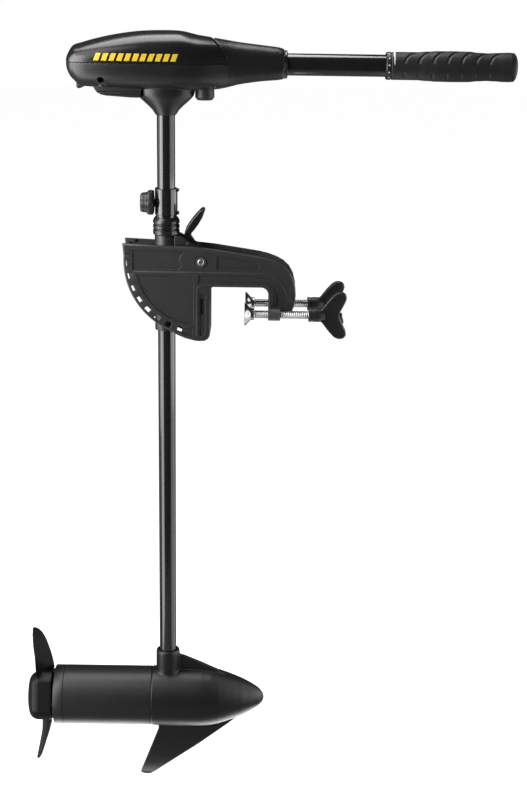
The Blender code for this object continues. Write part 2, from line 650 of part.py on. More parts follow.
def make_propeller(parent, black, steel, copper, dark):
    """Everything that turns on the motor's axle."""
    hub = [(AXLE_RADIUS + GAP, HUB_FRONT_X), (45.5, HUB_FRONT_X), (HUB_PROP_RADIUS, -193)]
    hub += [(HUB_PROP_RADIUS, -215), (43, -224), (34, -230), (22, HUB_REAR_X), (14, HUB_REAR_X)]
    hub += [(14, -222), (AXLE_RADIUS + GAP, -222)]
    propeller = add("propeller", turned(hub, "X", 20, ring=True), black, parent)
    rings = [blade_ring(*section) for section in BLADE_SECTIONS]
    join(propeller, lofted(rings))
    join(propeller, lofted([[(x, -y, -z) for x, y, z in ring] for ring in rings]))
    cut(propeller, block((-199.5, -2.4, -14), (-190, 2.4, 14)))
    axle = add("armature_shaft", rod(AXLE_RADIUS, -230, 60, "X", 12), steel, parent)
    cut(axle, rod(2.2, -20, 20, "Z", 12, (-197, 0, 0)))
    add("propeller_drive_pin", rod(1.9, -13.5, 13.5, "Z", 10, (-197, 0, 0)), steel, parent)
    nut = add("propeller_nut", rod(9, -230.5, -224.5, "X", 6), steel, parent)
    cut(nut, rod(AXLE_RADIUS + GAP, -240, -220, "X", 12))
    add("propeller_washer", pipe(AXLE_RADIUS + GAP, 11, -224.2, -222.3, "X", 16), steel, parent)
    add("armature_core", pipe(AXLE_RADIUS + GAP, 32, -128, -47, "X", 20), dark, parent)
    add("commutator", pipe(AXLE_RADIUS + GAP, 14.2, -158, -136, "X", 16), copper, parent)


def make_column(parent, gloss, motor_axis, lead_finish):
    tube = pipe(SHAFT_RADIUS - SHAFT_WALL, SHAFT_RADIUS, SHAFT_TOP - SHAFT_LENGTH, SHAFT_TOP, "Z", 20)
    add("shaft_tube", tube, gloss, parent)
    lead_bottom = MOTOR_Z + 46
    add("motor_lead", rod(3.5, lead_bottom, 250, "Z", 10), lead_finish, parent)


def main():
    clear_scene()
    black = finish("moulded_black", (0.012, 0.012, 0.013), 0.48)
    satin = finish("satin_black", (0.013, 0.013, 0.014), 0.36)
    gloss = finish("gloss_black", (0.008, 0.008, 0.009), 0.2)
    paint = finish("painted_black", (0.011, 0.011, 0.012), 0.4)
    rubber = finish("black_rubber", (0.014, 0.014, 0.015), 0.6)
    aluminium = finish("bright_aluminium", (0.75, 0.76, 0.78), 0.28, 1.0)
    steel = finish("steel", (0.55, 0.56, 0.58), 0.3, 1.0)
    copper = finish("copper", (0.72, 0.4, 0.22), 0.35, 1.0)
    dark = finish("dark_plastic", (0.02, 0.02, 0.022), 0.55)
    plain = finish("acetal", (0.05, 0.05, 0.055), 0.4)

    frame = axis_empty("column_axis", (SHAFT_X, 0, PIVOT_Z))
    tilt = axis_empty("tilt_axis", (PIVOT_X, 0, 0), frame)
    lever = axis_empty("lever_axis", (LEVER_PIVOT[0], 0, LEVER_PIVOT[1]), frame)
    knob = axis_empty("knob_axis", (0, 0, KNOB_Z), frame)
    tiller = axis_empty("tiller_axis", (0, 0, TILLER_Z), frame)
    motor = axis_empty("motor_axis", (0, 0, MOTOR_Z), frame)

    make_bracket(frame, black, steel)
    make_clamp(-1, "right", frame, black, aluminium)
    make_clamp(1, "left", frame, black, aluminium)
    make_carrier(tilt, black, plain, steel)
    make_tension_ring(frame, black)
    make_lever(lever, black)
    make_latch(tilt, steel)
    make_collar(frame, knob, black)
    make_column(frame, gloss, motor, plain)
    make_head(frame, black, satin, steel, dark)
    make_switch(frame, tiller, dark, plain)
    make_tiller(tiller, tiller, black, gloss, rubber, steel)
    make_housings(motor, paint, rubber)
    make_motor(motor, dark, steel, copper, plain)
    make_propeller(motor, black, steel, copper, dark)


main()
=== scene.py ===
"""The looks of the trolling motor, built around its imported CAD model.

Shapes are drawn in millimetres around the column, as in the CAD: X is measured from the shaft's axis,
Z from the tilt pivot and Y from the middle plane. place() turns such a point into the frame's metres.
Every visible CAD node is replaced by a finer piece that rides on the same body, and every CAD node that
stays gets a material with its own grain, wear and gloss.
"""

import json
import math

import bmesh
import bpy
from mathutils import Matrix, Vector

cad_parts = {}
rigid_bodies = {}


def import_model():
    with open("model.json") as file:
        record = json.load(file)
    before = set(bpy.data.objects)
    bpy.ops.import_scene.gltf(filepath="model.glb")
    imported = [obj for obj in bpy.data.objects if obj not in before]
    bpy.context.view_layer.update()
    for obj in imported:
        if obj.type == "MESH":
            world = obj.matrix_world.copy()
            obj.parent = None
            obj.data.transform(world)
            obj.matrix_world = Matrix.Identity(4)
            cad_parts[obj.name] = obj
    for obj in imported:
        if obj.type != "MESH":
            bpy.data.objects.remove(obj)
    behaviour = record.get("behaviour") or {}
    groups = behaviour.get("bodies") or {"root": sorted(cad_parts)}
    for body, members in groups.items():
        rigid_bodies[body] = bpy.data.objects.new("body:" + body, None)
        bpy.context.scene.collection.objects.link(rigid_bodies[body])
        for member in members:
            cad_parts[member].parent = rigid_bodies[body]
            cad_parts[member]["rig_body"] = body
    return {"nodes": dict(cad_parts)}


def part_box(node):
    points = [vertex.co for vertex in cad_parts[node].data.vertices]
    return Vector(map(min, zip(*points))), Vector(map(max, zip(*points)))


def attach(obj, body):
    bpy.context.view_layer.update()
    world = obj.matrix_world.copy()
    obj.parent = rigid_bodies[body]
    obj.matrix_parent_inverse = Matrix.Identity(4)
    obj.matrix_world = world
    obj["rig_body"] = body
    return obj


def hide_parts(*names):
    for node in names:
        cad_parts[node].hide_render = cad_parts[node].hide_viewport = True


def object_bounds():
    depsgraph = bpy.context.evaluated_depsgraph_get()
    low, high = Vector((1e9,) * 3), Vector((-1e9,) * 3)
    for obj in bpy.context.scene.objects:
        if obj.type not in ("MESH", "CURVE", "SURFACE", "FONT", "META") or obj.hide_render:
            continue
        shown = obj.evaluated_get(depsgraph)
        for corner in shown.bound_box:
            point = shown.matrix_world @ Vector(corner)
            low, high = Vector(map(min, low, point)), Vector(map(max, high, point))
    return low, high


MM = 0.001
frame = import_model()
CAD_BOX = [list(corner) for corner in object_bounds()]


def middle(node):
    low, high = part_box(node)
    return (low + high) / 2


# Places read from the frame
SHAFT_X = middle("shaft_tube").x
PIVOT_Z = middle("pivot_pin").z
PIVOT_X = (middle("pivot_pin").x - SHAFT_X) / MM
MOTOR_Z = (middle("motor_center_housing").z - PIVOT_Z) / MM
TILLER_Z = (middle("tiller_tube").z - PIVOT_Z) / MM
KNOB_Z = (middle("depth_collar_knob").z - PIVOT_Z) / MM
CLAMP_Z = (middle("right_clamp_screw").z - PIVOT_Z) / MM
CLAMP_Y = abs(middle("right_clamp_screw").y) / MM

# Transom bracket
BRACKET_HALF = 27.5
CHANNEL_HALF = 22.0
SECTOR_RADIUS = 118.5
WINDOW_RADIUS = 110.4
WINDOW_FIRST = -8.4  # degrees below the rearward horizontal
WINDOW_STEP = 10.2
WINDOW_COUNT = 9
WINDOW_SIZE = (9.0, 8.4)
WINDOW_FAR_END = 26.0
GROOVE_RADII = (96.5, 106.6)
GROOVE_DEPTH = 3.5
BRIDGE_Z = -39.0
SEAT_X = 69.0
ARM_X = 158.0
PIN_RADIUS = 5.0
RIB_HALF = 1.1
RIB_HEIGHT = 0.8
POCKET_DEPTH = 1.6
POCKET_DRAFT = 0.9

# Clamp screws
SCREW_RADIUS = 6.25
THREAD_PITCH = 3.0
THREAD_DEPTH = 0.9
PAD_X = 122.0
PAD_RADIUS = 17.5
HUB_X = 220.0

# Column
SHAFT_RADIUS = 13.75
SHAFT_WALL = 3.0
SHAFT_TOP = 230.0
SHAFT_LENGTH = 914.0
SLEEVE_RADIUS = 18.0
CARRIER_TOP = 38.0
CARRIER_BOTTOM = -112.0
RING_RADIUS = 20.5
RING_TOP = 64.5
COLLAR_RADIUS = 17.3
COLLAR_TOP = 109.0
LEVER_PIVOT = (33.0, 27.0)
LATCH_RADIUS = 101.0

# Control head
SEAM_Z = 298.0
SEAM_GAP = 0.35  # above and below the seam
HEAD_WALL = 3.0
COVER_FRONT_X = 93.0  # at the seam
COVER_FRONT_LEAN = 27.0  # how far back the cover's front edge is at the top
SLEEVE_END_X = 177.0
# Stations along the head: x, half width, top z, bottom z
HEAD_STATIONS = (
    (-147.2, 0.5, 298.4, 297.6),
    (-146.8, 12, 301.5, 291),
    (-145.5, 26, 306, 284),
    (-141, 36, 315, 275),
    (-136, 40, 320.6, 269.5),
    (-127, 44, 323.4, 262),
    (-110, 48, 328.4, 260),
    (-80, 52, 335.5, 259),
    (-40, 54, 341.4, 258),
    (0, 54, 343, 257),
    (24, 53, 342.1, 257),
    (45, 50, 337.5, 257),
    (60, 46, 335, 257.5),
    (78, 39, 332.5, 258.5),
    (96, 32, 329.7, 262.2),
    (111, 29, 327.4, 266),
    (140, 26, 324.1, 270.4),
    (168, 23.5, 320.8, 273),
    (SLEEVE_END_X, 22, 318, 275),
)
# Stations up the neck under the head: half length, half width, z
NECK_STATIONS = (
    (15.2, 15.2, 219),
    (15.8, 15.8, 219.6),
    (17, 17, 222),
    (20, 18.5, 226.5),
    (23.4, 20, 230),
    (27, 21.5, 233.5),
    (31, 23.2, 237),
    (35, 25, 240.5),
    (38.2, 26.6, 243.5),
    (41, 28, 246.5),
    (42.6, 29.2, 249.4),
    (43.6, 30, 253),
    (44, 31, 264),
)
COVER_SCREWS = ((-92, -28, 262), (-92, 28, 262), (72, -22.5, 265.5), (72, 22.5, 265.5))  # x, y, floor z
BAR_COUNT = 11
BAR_START_X = -103.0
BAR_PITCH = 11.3
BAR_WIDTH = 7.6
BAR_HEIGHTS = (301.5, 312.0)
BAR_SLANT = 4.0

# Tiller
TUBE_RADIUS = 16.25
TUBE_INNER_X = 100.0
TUBE_OUTER_X = 480.0
DIAL_X = 328.0
GRIP_X = 336.0
GRIP_END_X = 517.0
GRIP_RADIUS = 20.5
GRIP_PROFILE = ((336, 19.6), (338, 20.5), (375, 20.6), (390, 21.6), (405, 22.4), (430, 22.6), (452, 22.3))
GRIP_PROFILE += ((466, 20.9), (480, 20.3), (492, 20.8), (505, 21.5), (514, 21.6), (516.7, 21.0))
GRIP_GROOVES = 7
GRIP_GROOVE_X = 355.0
GRIP_GROOVE_PITCH = 21.0
GRIP_GROOVE_DEPTH = 1.7
GRIP_LEAD = 21.0  # how far forward a groove is when it reaches the top
GROOVE_FROM = 20.0  # degrees above the horizontal where a groove starts

# Lower unit: X from the shaft axis, Z and radii from the motor's axis
MOTOR_RADIUS = 49.0
MOTOR_BORE = 43.0
NOSE_SEAM_X = -26.4
REAR_SEAM_X = -172.6
REAR_END_X = -188.6
BOLT_OFFSET = 38.8
SOCKET_RADIUS = 19.5
SOCKET_TOP = 86.5
HUB_FLAT = 39.5
HUB_FLAT_TURNS = (161.5, 251.5, 341.5, 71.5)
# Sections along a propeller blade: reach from the axis, chord, pitch in degrees, x of the middle, thickness
BLADE_SECTIONS = (
    (38, 54, 25, -204.5, 8),
    (50, 62, 19.5, -206.2, 6.6),
    (62, 67, 15, -208, 5.5),
    (72, 67.4, 12.2, -209.8, 5),
    (82, 66, 10.5, -211.5, 4.4),
    (90, 61.4, 10.3, -213.4, 3.9),
    (98, 54, 10.5, -215.5, 3.4),
    (105, 45, 10.7, -217.4, 2.9),
    (111, 34, 11, -219.4, 2.5),
    (115.5, 23, 11.4, -221, 2.2),
    (118.6, 13, 11.8, -222.3, 1.9),
    (120, 6, 12, -223, 1.6),
)

# Camera and lights
CAMERA_PLACE = (0.048, -2.361, 0.499)
CAMERA_TILT = 73.8
CAMERA_ROLL = 0.8
CAMERA_LENS = 69.75


# Shape makers: each gives the points and faces of one closed shape


def place(point):
    x, y, z = point
    return Vector((SHAFT_X + x * MM, y * MM, PIVOT_Z + z * MM))


def spaced(start, end, steps):
    return [start + (end - start) * step / steps for step in range(steps + 1)]


def circle(count):
    """Angles all the way round, in radians."""
    return [2 * math.pi * step / count for step in range(count)]


def along(axis, across, up, height):
    """A point at a height along an axis and two distances across it."""
    return {"X": (height, across, up), "Y": (across, height, up), "Z": (across, up, height)}[axis]


def turned(profile, axis="Z", sides=96, ring=False, centre=(0, 0, 0), reach=None):
    """A profile of (radius, height) points turned about an axis; reach may give each point another radius."""
    points = []
    rows = []
    for radius, height in profile:
        if radius == 0:
            rows.append([len(points)] * sides)
            points.append(along(axis, 0, 0, height))
            continue
        rows.append(list(range(len(points), len(points) + sides)))
        for angle in circle(sides):
            far = reach(radius, height, angle) if reach else radius
            points.append(along(axis, far * math.cos(angle), far * math.sin(angle), height))
    pairs = list(zip(rows, rows[1:]))
    if ring:
        pairs.append((rows[-1], rows[0]))
    faces = []
    for low, high in pairs:
        for step in range(sides):
            after = (step + 1) % sides
            faces.append(tuple(dict.fromkeys((low[step], low[after], high[after], high[step]))))
    if not ring:
        faces += [tuple(row) for row in (rows[0], rows[-1]) if len(set(row)) > 1]
    return [Vector(point) + Vector(centre) for point in points], faces


def rod(radius, low, high, axis="Z", sides=64, centre=(0, 0, 0), edge=0.0):
    """A round bar, with its end edges chamfered."""
    profile = [(radius - edge, low), (radius, low + edge), (radius, high - edge), (radius - edge, high)]
    if not edge:
        profile = [(radius, low), (radius, high)]
    return turned([(0, low)] + profile + [(0, high)], axis, sides, centre=centre)


def pipe(inner, outer, low, high, axis="Z", sides=96, centre=(0, 0, 0), edge=0.4):
    profile = [(inner, low), (outer - edge, low), (outer, low + edge)]
    profile += [(outer, high - edge), (outer - edge, high), (inner, high)]
    return turned(profile, axis, sides, ring=True, centre=centre)


def lofted(rings):
    """Rings with the same number of points, joined side by side and capped at both ends."""
    count = len(rings[0])
    points = [point for ring in rings for point in ring]
    faces = [tuple(range(count)), tuple(range(len(points) - count, len(points)))]
    for start in range(0, len(points) - count, count):
        for step in range(count):
            after = (step + 1) % count
            faces.append((start + step, start + after, start + count + after, start + count + step))
    return points, faces


def level(outline, y):
    return [(x, y, z) for x, z in outline]


def extruded(outline, low, high):
    return lofted([level(outline, low), level(outline, high)])


def block(low, high):
    (x0, y0, z0), (x1, y1, z1) = low, high
    return extruded([(x0, z0), (x1, z0), (x1, z1), (x0, z1)], y0, y1)


def inset(outline, distance):
    """A closed outline of (x, z) points moved inwards, or outwards where the distance is negative."""
    points = [Vector(point) for point in outline]
    after_each = points[1:] + points[:1]
    area = sum(a.x * b.y - b.x * a.y for a, b in zip(points, after_each))
    turn = math.copysign(1, area)
    moved = []
    for before, here, after in zip(points[-1:] + points[:-1], points, after_each):
        first = (here - before).normalized()
        second = (after - here).normalized()
        inward = Vector((-first.y - second.y, first.x + second.x)) * turn
        here = here + inward * (2 * distance / max(inward.length_squared, 0.8))
        moved.append((here.x, here.y))
    return moved


def rounded(outline, low, high, edge=1.0, steps=3):
    """An outline carried across from y = low to y = high, with a quarter round along both rims."""
    turns = [math.radians(turn) for turn in spaced(0, 90, steps)]
    rings = [level(inset(outline, edge * (1 - math.sin(a))), low + edge * (1 - math.cos(a))) for a in turns]
    turns.reverse()
    rings += [level(inset(outline, edge * (1 - math.sin(a))), high - edge * (1 - math.cos(a))) for a in turns]
    return lofted(rings)


def combined(shapes):
    """Shapes that stay clear of each other, as one set of points and faces."""
    points = []
    faces = []
    for more_points, more_faces in shapes:
        start = len(points)
        points += more_points
        faces += [tuple(start + index for index in face) for face in more_faces]
    return points, faces


def arc(centre, radius, start, end, steps):
    """Points on a circle in the XZ plane; angles in degrees from +X towards +Z."""
    angles = [math.radians(angle) for angle in spaced(start, end, steps)]
    return [(centre[0] + radius * math.cos(a), centre[1] + radius * math.sin(a)) for a in angles]


def about_pivot(radius, below):
    """The (x, z) point at a radius about the tilt pivot, at an angle below the rearward horizontal."""
    angle = math.radians(below)
    return PIVOT_X - radius * math.cos(angle), -radius * math.sin(angle)


# Objects


def start_piece(name, shape):
    """A mesh object from a shape, in the frame's metres."""
    points, faces = shape
    mesh = bpy.data.meshes.new(name)
    mesh.from_pydata([place(point) for point in points], [], faces)
    shell = bmesh.new()
    shell.from_mesh(mesh)
    bmesh.ops.recalc_face_normals(shell, faces=shell.faces)
    shell.to_mesh(mesh)
    shell.free()
    obj = bpy.data.objects.new(name, mesh)
    bpy.context.scene.collection.objects.link(obj)
    return obj


def settle(obj, *helpers):
    """Turns an object's modifiers into its mesh, and removes the objects that they used."""
    bpy.context.view_layer.update()
    depsgraph = bpy.context.evaluated_depsgraph_get()
    mesh = bpy.data.meshes.new_from_object(obj.evaluated_get(depsgraph))
    obj.modifiers.clear()
    obj.data = mesh
    for helper in helpers:
        bpy.data.objects.remove(helper, do_unlink=True)
    return obj


def combine(obj, operation, shapes):
    helpers = []
    for shape in shapes:
        helper = start_piece("helper", shape)
        modifier = obj.modifiers.new(operation, "BOOLEAN")
        modifier.operation = operation
        modifier.solver = "EXACT"
        modifier.object = helper
        helpers.append(helper)
    return settle(obj, *helpers)


def cut(obj, *shapes):
    return combine(obj, "DIFFERENCE", shapes)


def join(obj, *shapes):
    return combine(obj, "UNION", shapes)


def blended(obj, voxel, rounds):
    """Flows an object's joined shapes into each other, as a casting or moulding does at its inner corners."""
    remesh = obj.modifiers.new("blend", "REMESH")
    remesh.mode = "VOXEL"
    remesh.voxel_size = voxel * MM
    smooth = obj.modifiers.new("smooth", "SMOOTH")
    smooth.factor = 0.5
    smooth.iterations = rounds
    return settle(obj)


def dress(obj, look, slot, *nodes, sharp=38):
    """Gives a piece its finish, and lets it stand for CAD nodes and ride on their body."""
    obj.data.materials.clear()
    obj.data.materials.append(LOOKS[look])
    obj.data.shade_smooth()
    obj.data.set_sharp_from_angle(angle=math.radians(sharp))
    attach(obj, frame["nodes"][nodes[0]]["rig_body"])
    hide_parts(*nodes)
    return obj


def add_piece(name, shape, look, slot, node, sharp=38):
    """A piece that its shape alone makes, standing for one CAD node."""
    return dress(start_piece(name, shape), look, slot, node, sharp=sharp)


def accent(name, shape, look, beside):
    """A small mark or stripe that rides with a CAD node and replaces nothing."""
    obj = start_piece(name, shape)
    obj.data.materials.append(LOOKS[look])
    obj.data.shade_smooth()
    obj.data.set_sharp_from_angle(angle=math.radians(40))
    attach(obj, frame["nodes"][beside]["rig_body"])
    return obj


# Materials


def node(tree, kind, inputs=None, **settings):
    added = tree.nodes.new(kind)
    for name, value in settings.items():
        setattr(added, name, value)
    for name, value in (inputs or {}).items():
        if isinstance(value, bpy.types.NodeSocket):
            tree.links.new(value, added.inputs[name])
        else:
            added.inputs[name].default_value = value
    return added


def ramp(tree, factor, stops):
    """A colour ramp through (position, grey) stops."""
    added = node(tree, "ShaderNodeValToRGB", {"Fac": factor})
    elements = added.color_ramp.elements
    while len(elements) < len(stops):
        elements.new(0.5)
    for element, (position, grey) in zip(elements, stops):
        element.position = position
        element.color = (grey, grey, grey, 1)
    return added.outputs["Color"]


def noise(tree, coordinates, scale, detail=3.0, stretch=None):
    if stretch:
        mapping = node(tree, "ShaderNodeMapping", {"Vector": coordinates, "Scale": stretch})
        coordinates = mapping.outputs["Vector"]
    inputs = {"Vector": coordinates, "Scale": scale, "Detail": detail}
    return node(tree, "ShaderNodeTexNoise", inputs).outputs["Fac"]


def mixed(tree, factor, first, second):
    inputs = {0: factor, 6: first, 7: second}
    return node(tree, "ShaderNodeMix", inputs, data_type="RGBA").outputs[2]


def product(tree, first, second):
    return node(tree, "ShaderNodeMath", {0: first, 1: second}, operation="MULTIPLY").outputs[0]


def scaled(tree, value, low, high):
    """A value between 0 and 1 stretched between two others."""
    inputs = {"Value": value, "To Min": low, "To Max": high}
    return node(tree, "ShaderNodeMapRange", inputs).outputs["Result"]


def bump(tree, height, strength, depth, below=None):
    inputs = {"Height": height, "Strength": strength, "Distance": depth}
    if below:
        inputs["Normal"] = below
    return node(tree, "ShaderNodeBump", inputs).outputs["Normal"]


def surface(
    name, colour, edge_wear_and_highlight, rough, metallic=0.0,
    grain=(1500, 0.25, 0.00012), mottle=0.12, coat=0.0, edges=0.5, shine=0.5,
):
    """A finish with cloudy colour, uneven gloss, fine grain, and a lighter colour along its outer edges:
    wear, and on the bracket a painted highlight.
    """
    made = bpy.data.materials.new(name)
    made.use_nodes = True
    tree = made.node_tree
    shader = tree.nodes["Principled BSDF"]
    place_in = node(tree, "ShaderNodeTexCoord").outputs["Object"]
    cloud = noise(tree, place_in, 28, 4)
    smear = noise(tree, place_in, 160, 5)
    grain_scale, grain_strength, grain_depth = grain
    fine = noise(tree, place_in, grain_scale, 2)
    low = tuple(c * (1 - mottle) for c in colour) + (1,)
    high = tuple(c * (1 + mottle) for c in colour) + (1,)
    base = mixed(tree, cloud, low, high)
    geometry = node(tree, "ShaderNodeNewGeometry")
    # lighter colour along sharp outer edges: edge wear, and where the edge colour is bright (the bracket) a
    # painted highlight on the rims
    edge = ramp(tree, geometry.outputs["Pointiness"], ((0.515, 0), (0.57, 1)))
    edge_wear_and_highlight_amount = product(tree, product(tree, edge, smear), edges)
    base = mixed(tree, edge_wear_and_highlight_amount, base, (*edge_wear_and_highlight, 1))
    tree.links.new(base, shader.inputs["Base Color"])
    tree.links.new(scaled(tree, smear, rough - 0.06, rough + 0.07), shader.inputs["Roughness"])
    tree.links.new(bump(tree, fine, grain_strength, grain_depth), shader.inputs["Normal"])
    shader.inputs["Metallic"].default_value = metallic
    shader.inputs["Specular IOR Level"].default_value = shine
    shader.inputs["Coat Weight"].default_value = coat
    shader.inputs["Coat Roughness"].default_value = 0.06
    return made


def pebbled(name, colour, edge_wear_and_highlight, rough, from_x, cell, depth):
    """Moulded plastic that is smooth behind from_x and covered in small pebbles in front of it."""
    made = surface(name, colour, edge_wear_and_highlight, rough)
    tree = made.node_tree
    shader = tree.nodes["Principled BSDF"]
    place_in = node(tree, "ShaderNodeTexCoord").outputs["Object"]
    along_x = node(tree, "ShaderNodeSeparateXYZ", {"Vector": place_in}).outputs["X"]
    start = SHAFT_X + from_x * MM
    inputs = {"Value": along_x, "From Min": start, "From Max": start + 0.002}
    front = node(tree, "ShaderNodeMapRange", inputs).outputs["Result"]
    inputs = {"Vector": place_in, "Scale": 1 / (cell * MM)}
    cells = node(tree, "ShaderNodeTexVoronoi", inputs, feature="SMOOTH_F1")
    hills = product(tree, cells.outputs["Distance"], front)
    below = shader.inputs["Normal"].links[0].from_socket
    tree.links.new(bump(tree, hills, 0.8, depth * MM, below), shader.inputs["Normal"])
    return made


def brushed(name, colour, rough, stretch, strength=0.25):
    """Bright metal with fine turning or drawing lines, and cloudy handling marks."""
    made = surface(name, colour, colour, rough, metallic=1.0, mottle=0.08, edges=0)
    tree = made.node_tree
    shader = tree.nodes["Principled BSDF"]
    place_in = node(tree, "ShaderNodeTexCoord").outputs["Object"]
    lines = noise(tree, place_in, 900, 3, stretch)
    below = shader.inputs["Normal"].links[0].from_socket
    tree.links.new(bump(tree, lines, strength, 0.00008, below), shader.inputs["Normal"])
    return made


def make_materials():
    """Every finish by its name, with its colour, its lighter colour along its outer edges (wear, and on the
    bracket a painted edge highlight), and its roughness.
    """
    finishes = (
        ("moulded_black", (0.006, 0.006, 0.0064), (0.035, 0.035, 0.037), 0.4, {}),
        # bracket_black's light edge colour is a painted highlight along the plate rims and rib edges
        ("bracket_black", (0.021, 0.021, 0.022), (0.11, 0.11, 0.112), 0.42,
         {"grain": (700, 0.3, 0.0001), "mottle": 0.25}),
        ("satin_black", (0.0075, 0.0075, 0.008), (0.03, 0.03, 0.032), 0.23, {"grain": (1900, 0.1, 0.00005)}),
        ("gloss_black", (0.006, 0.006, 0.0065), (0.02, 0.02, 0.021), 0.16,
         {"grain": (600, 0.05, 0.00003), "coat": 0.6, "edges": 0.3}),
        ("painted_black", (0.0045, 0.0045, 0.005), (0.025, 0.025, 0.027), 0.4,
         {"grain": (1300, 0.3, 0.00008), "shine": 0.42}),
        ("propeller_black", (0.003, 0.003, 0.0033), (0.02, 0.02, 0.021), 0.4,
         {"grain": (1300, 0.2, 0.00006), "shine": 0.2}),
        ("black_rubber", (0.012, 0.012, 0.013), (0.035, 0.035, 0.036), 0.5, {"grain": (2400, 0.5, 0.0001)}),
        ("dark_plastic", (0.009, 0.009, 0.0095), (0.04, 0.04, 0.04), 0.46, {}),
        ("acetal", (0.05, 0.05, 0.055), (0.1, 0.1, 0.11), 0.38, {}),
        ("iron", (0.09, 0.09, 0.095), (0.25, 0.25, 0.26), 0.45, {"metallic": 0.8}),
        ("accent_yellow", (0.66, 0.44, 0.01), (0.75, 0.55, 0.08), 0.34,
         {"grain": (900, 0.1, 0.00005), "mottle": 0.05}),
        ("mark_white", (0.75, 0.75, 0.74), (0.85, 0.85, 0.84), 0.4, {"mottle": 0.04}),
    )
    metals = (
        ("bright_aluminium", (0.36, 0.365, 0.375), 0.2, (0.1, 1, 1)),
        ("steel", (0.6, 0.6, 0.62), 0.28, (0.2, 1, 0.2)),
        ("copper", (0.74, 0.42, 0.24), 0.32, (1, 0.2, 0.2)),
    )
    made = {}
    for name, colour, edge_wear_and_highlight, rough, others in finishes:
        made[name] = surface(f"{name}_look", colour, edge_wear_and_highlight, rough, **others)
    for name, colour, rough, stretch in metals:
        made[name] = brushed(f"{name}_look", colour, rough, stretch)
    made["head_black"] = pebbled(
        "head_black_look", (0.0085, 0.0085, 0.009), (0.04, 0.04, 0.042), 0.34, from_x=96, cell=1.5, depth=0.4
    )
    return made


LOOKS = make_materials()


# Transom bracket


def bracket_outline():
    top = [(-66, 27), (-8, 24.5), (47, 22.5), (74, 19.8), (99, 16), (122, 12.6), (145, 9), (158, 5.8)]
    outer = [(170, 1.4), (181, -4.5), (190, -13), (196, -24), (199.6, -38), (200.5, -50), (199.4, -62)]
    outer += [(197, -71), (194, -78)]
    jaw = [(ARM_X, -78)] + arc((ARM_X - 11, BRIDGE_Z - 11), 11, 0, 90, 8)
    seat = arc((SEAT_X + 5, BRIDGE_Z - 5), 5, 90, 180, 5) + [(SEAT_X, -112)]
    foot = [(68, -117), (65.5, -121.5), (60, -124.5), (52, -125), (45, -124.4), (30, -120.5), (17, -115)]
    sector = [about_pivot(SECTOR_RADIUS, below) for below in range(68, -6, -3)]
    return top + outer + jaw + seat + foot + sector


def channel_outline():
    floor = [(56, -31), (148, -31), (158, -35), (164, -43), (165.5, -52), (165.5, -67)]
    return [(-95, 60), (-95, -140), (56, -140)] + floor + [(215, -67), (215, 60)]


def window_cutters():
    """The index windows with flared mouths: through the right plate, and blind sockets in the left one."""
    across, deep = WINDOW_SIZE
    shapes = []
    for number in range(WINDOW_COUNT):
        below = WINDOW_FIRST + WINDOW_STEP * number
        half_angle = math.degrees(across / 2 / WINDOW_RADIUS)
        near, far = WINDOW_RADIUS - deep / 2, WINDOW_RADIUS + deep / 2
        corners = [(near, -1), (far, -1), (far, 1), (near, 1)]
        outline = [about_pivot(radius, below + side * half_angle) for radius, side in corners]
        mouth = inset(outline, -1.6)
        levels = ((-BRACKET_HALF - 1, mouth), (-BRACKET_HALF + 0.8, outline), (WINDOW_FAR_END, outline))
        shapes.append(lofted([level(ring, y) for y, ring in levels]))
    return combined(shapes)


def groove_cutters():
    near, far = GROOVE_RADII
    steps = range(-14, 84, 3)
    outline = [about_pivot(far, below) for below in steps]
    outline += [about_pivot(near, below) for below in reversed(steps)]
    inside, outside = CHANNEL_HALF - 1, CHANNEL_HALF + GROOVE_DEPTH
    return combined([extruded(outline, -outside, -inside), extruded(outline, inside, outside)])


def pocket(outline, depth=POCKET_DEPTH):
    """A shallow hollow in the outer face of both plates, with drafted sides."""
    shapes = []
    for side in (-1, 1):
        rings = [(BRACKET_HALF - depth, POCKET_DRAFT), (BRACKET_HALF, 0), (BRACKET_HALF + 2, -POCKET_DRAFT)]
        shapes.append(lofted([level(inset(outline, draw), side * y) for y, draw in rings]))
    return combined(shapes)


def bracket_pockets():
    upper = [(-51, 18.4), (-51, -12.5), (20, -12.5), (24, -9), (25, -4), (22.5, 1), (22, 6), (25, 11)]
    upper += [(29, 14), (30, 16.2)]
    arm = [(78, 9.5), (78, -11.3), (142, -10.2), (145, -7), (143, -2.6), (128, 1.6), (104, 6.2)]
    quarter = [(38.5, -21.5), (42.4, -23), (43.8, -27), (43.8, -93), (42, -97.4), (37, -99)]
    quarter += [about_pivot(101, below) for below in range(76, 11, -4)]
    spine = [(50, -20.5), (138, -20.5), (156, -23.5), (170, -30.5), (180, -40), (186, -52), (185.5, -68)]
    spine += [(169.5, -68), (169.2, -50), (165.5, -41), (157, -34), (146, -31.8), (62, -31.8), (50, -34)]
    leg = [(52, -50), (62, -50), (62, -108), (59, -116), (52, -117)]
    heel = [(20, -104), (42, -104), (42, -117.5), (28, -114)]
    return [pocket(outline) for outline in (upper, arm, quarter, spine, leg, heel)]


def ribbon(points, half):
    """The outline of a narrow band that runs along points."""
    sides = ([], [])
    for index, (x, z) in enumerate(points):
        before, after = points[max(index - 1, 0)], points[min(index + 1, len(points) - 1)]
        run, rise = after[0] - before[0], after[1] - before[1]
        length = math.hypot(run, rise)
        for side, sign in zip(sides, (1, -1)):
            side.append((x - sign * half * rise / length, z + sign * half * run / length))
    return sides[0] + sides[1][::-1]


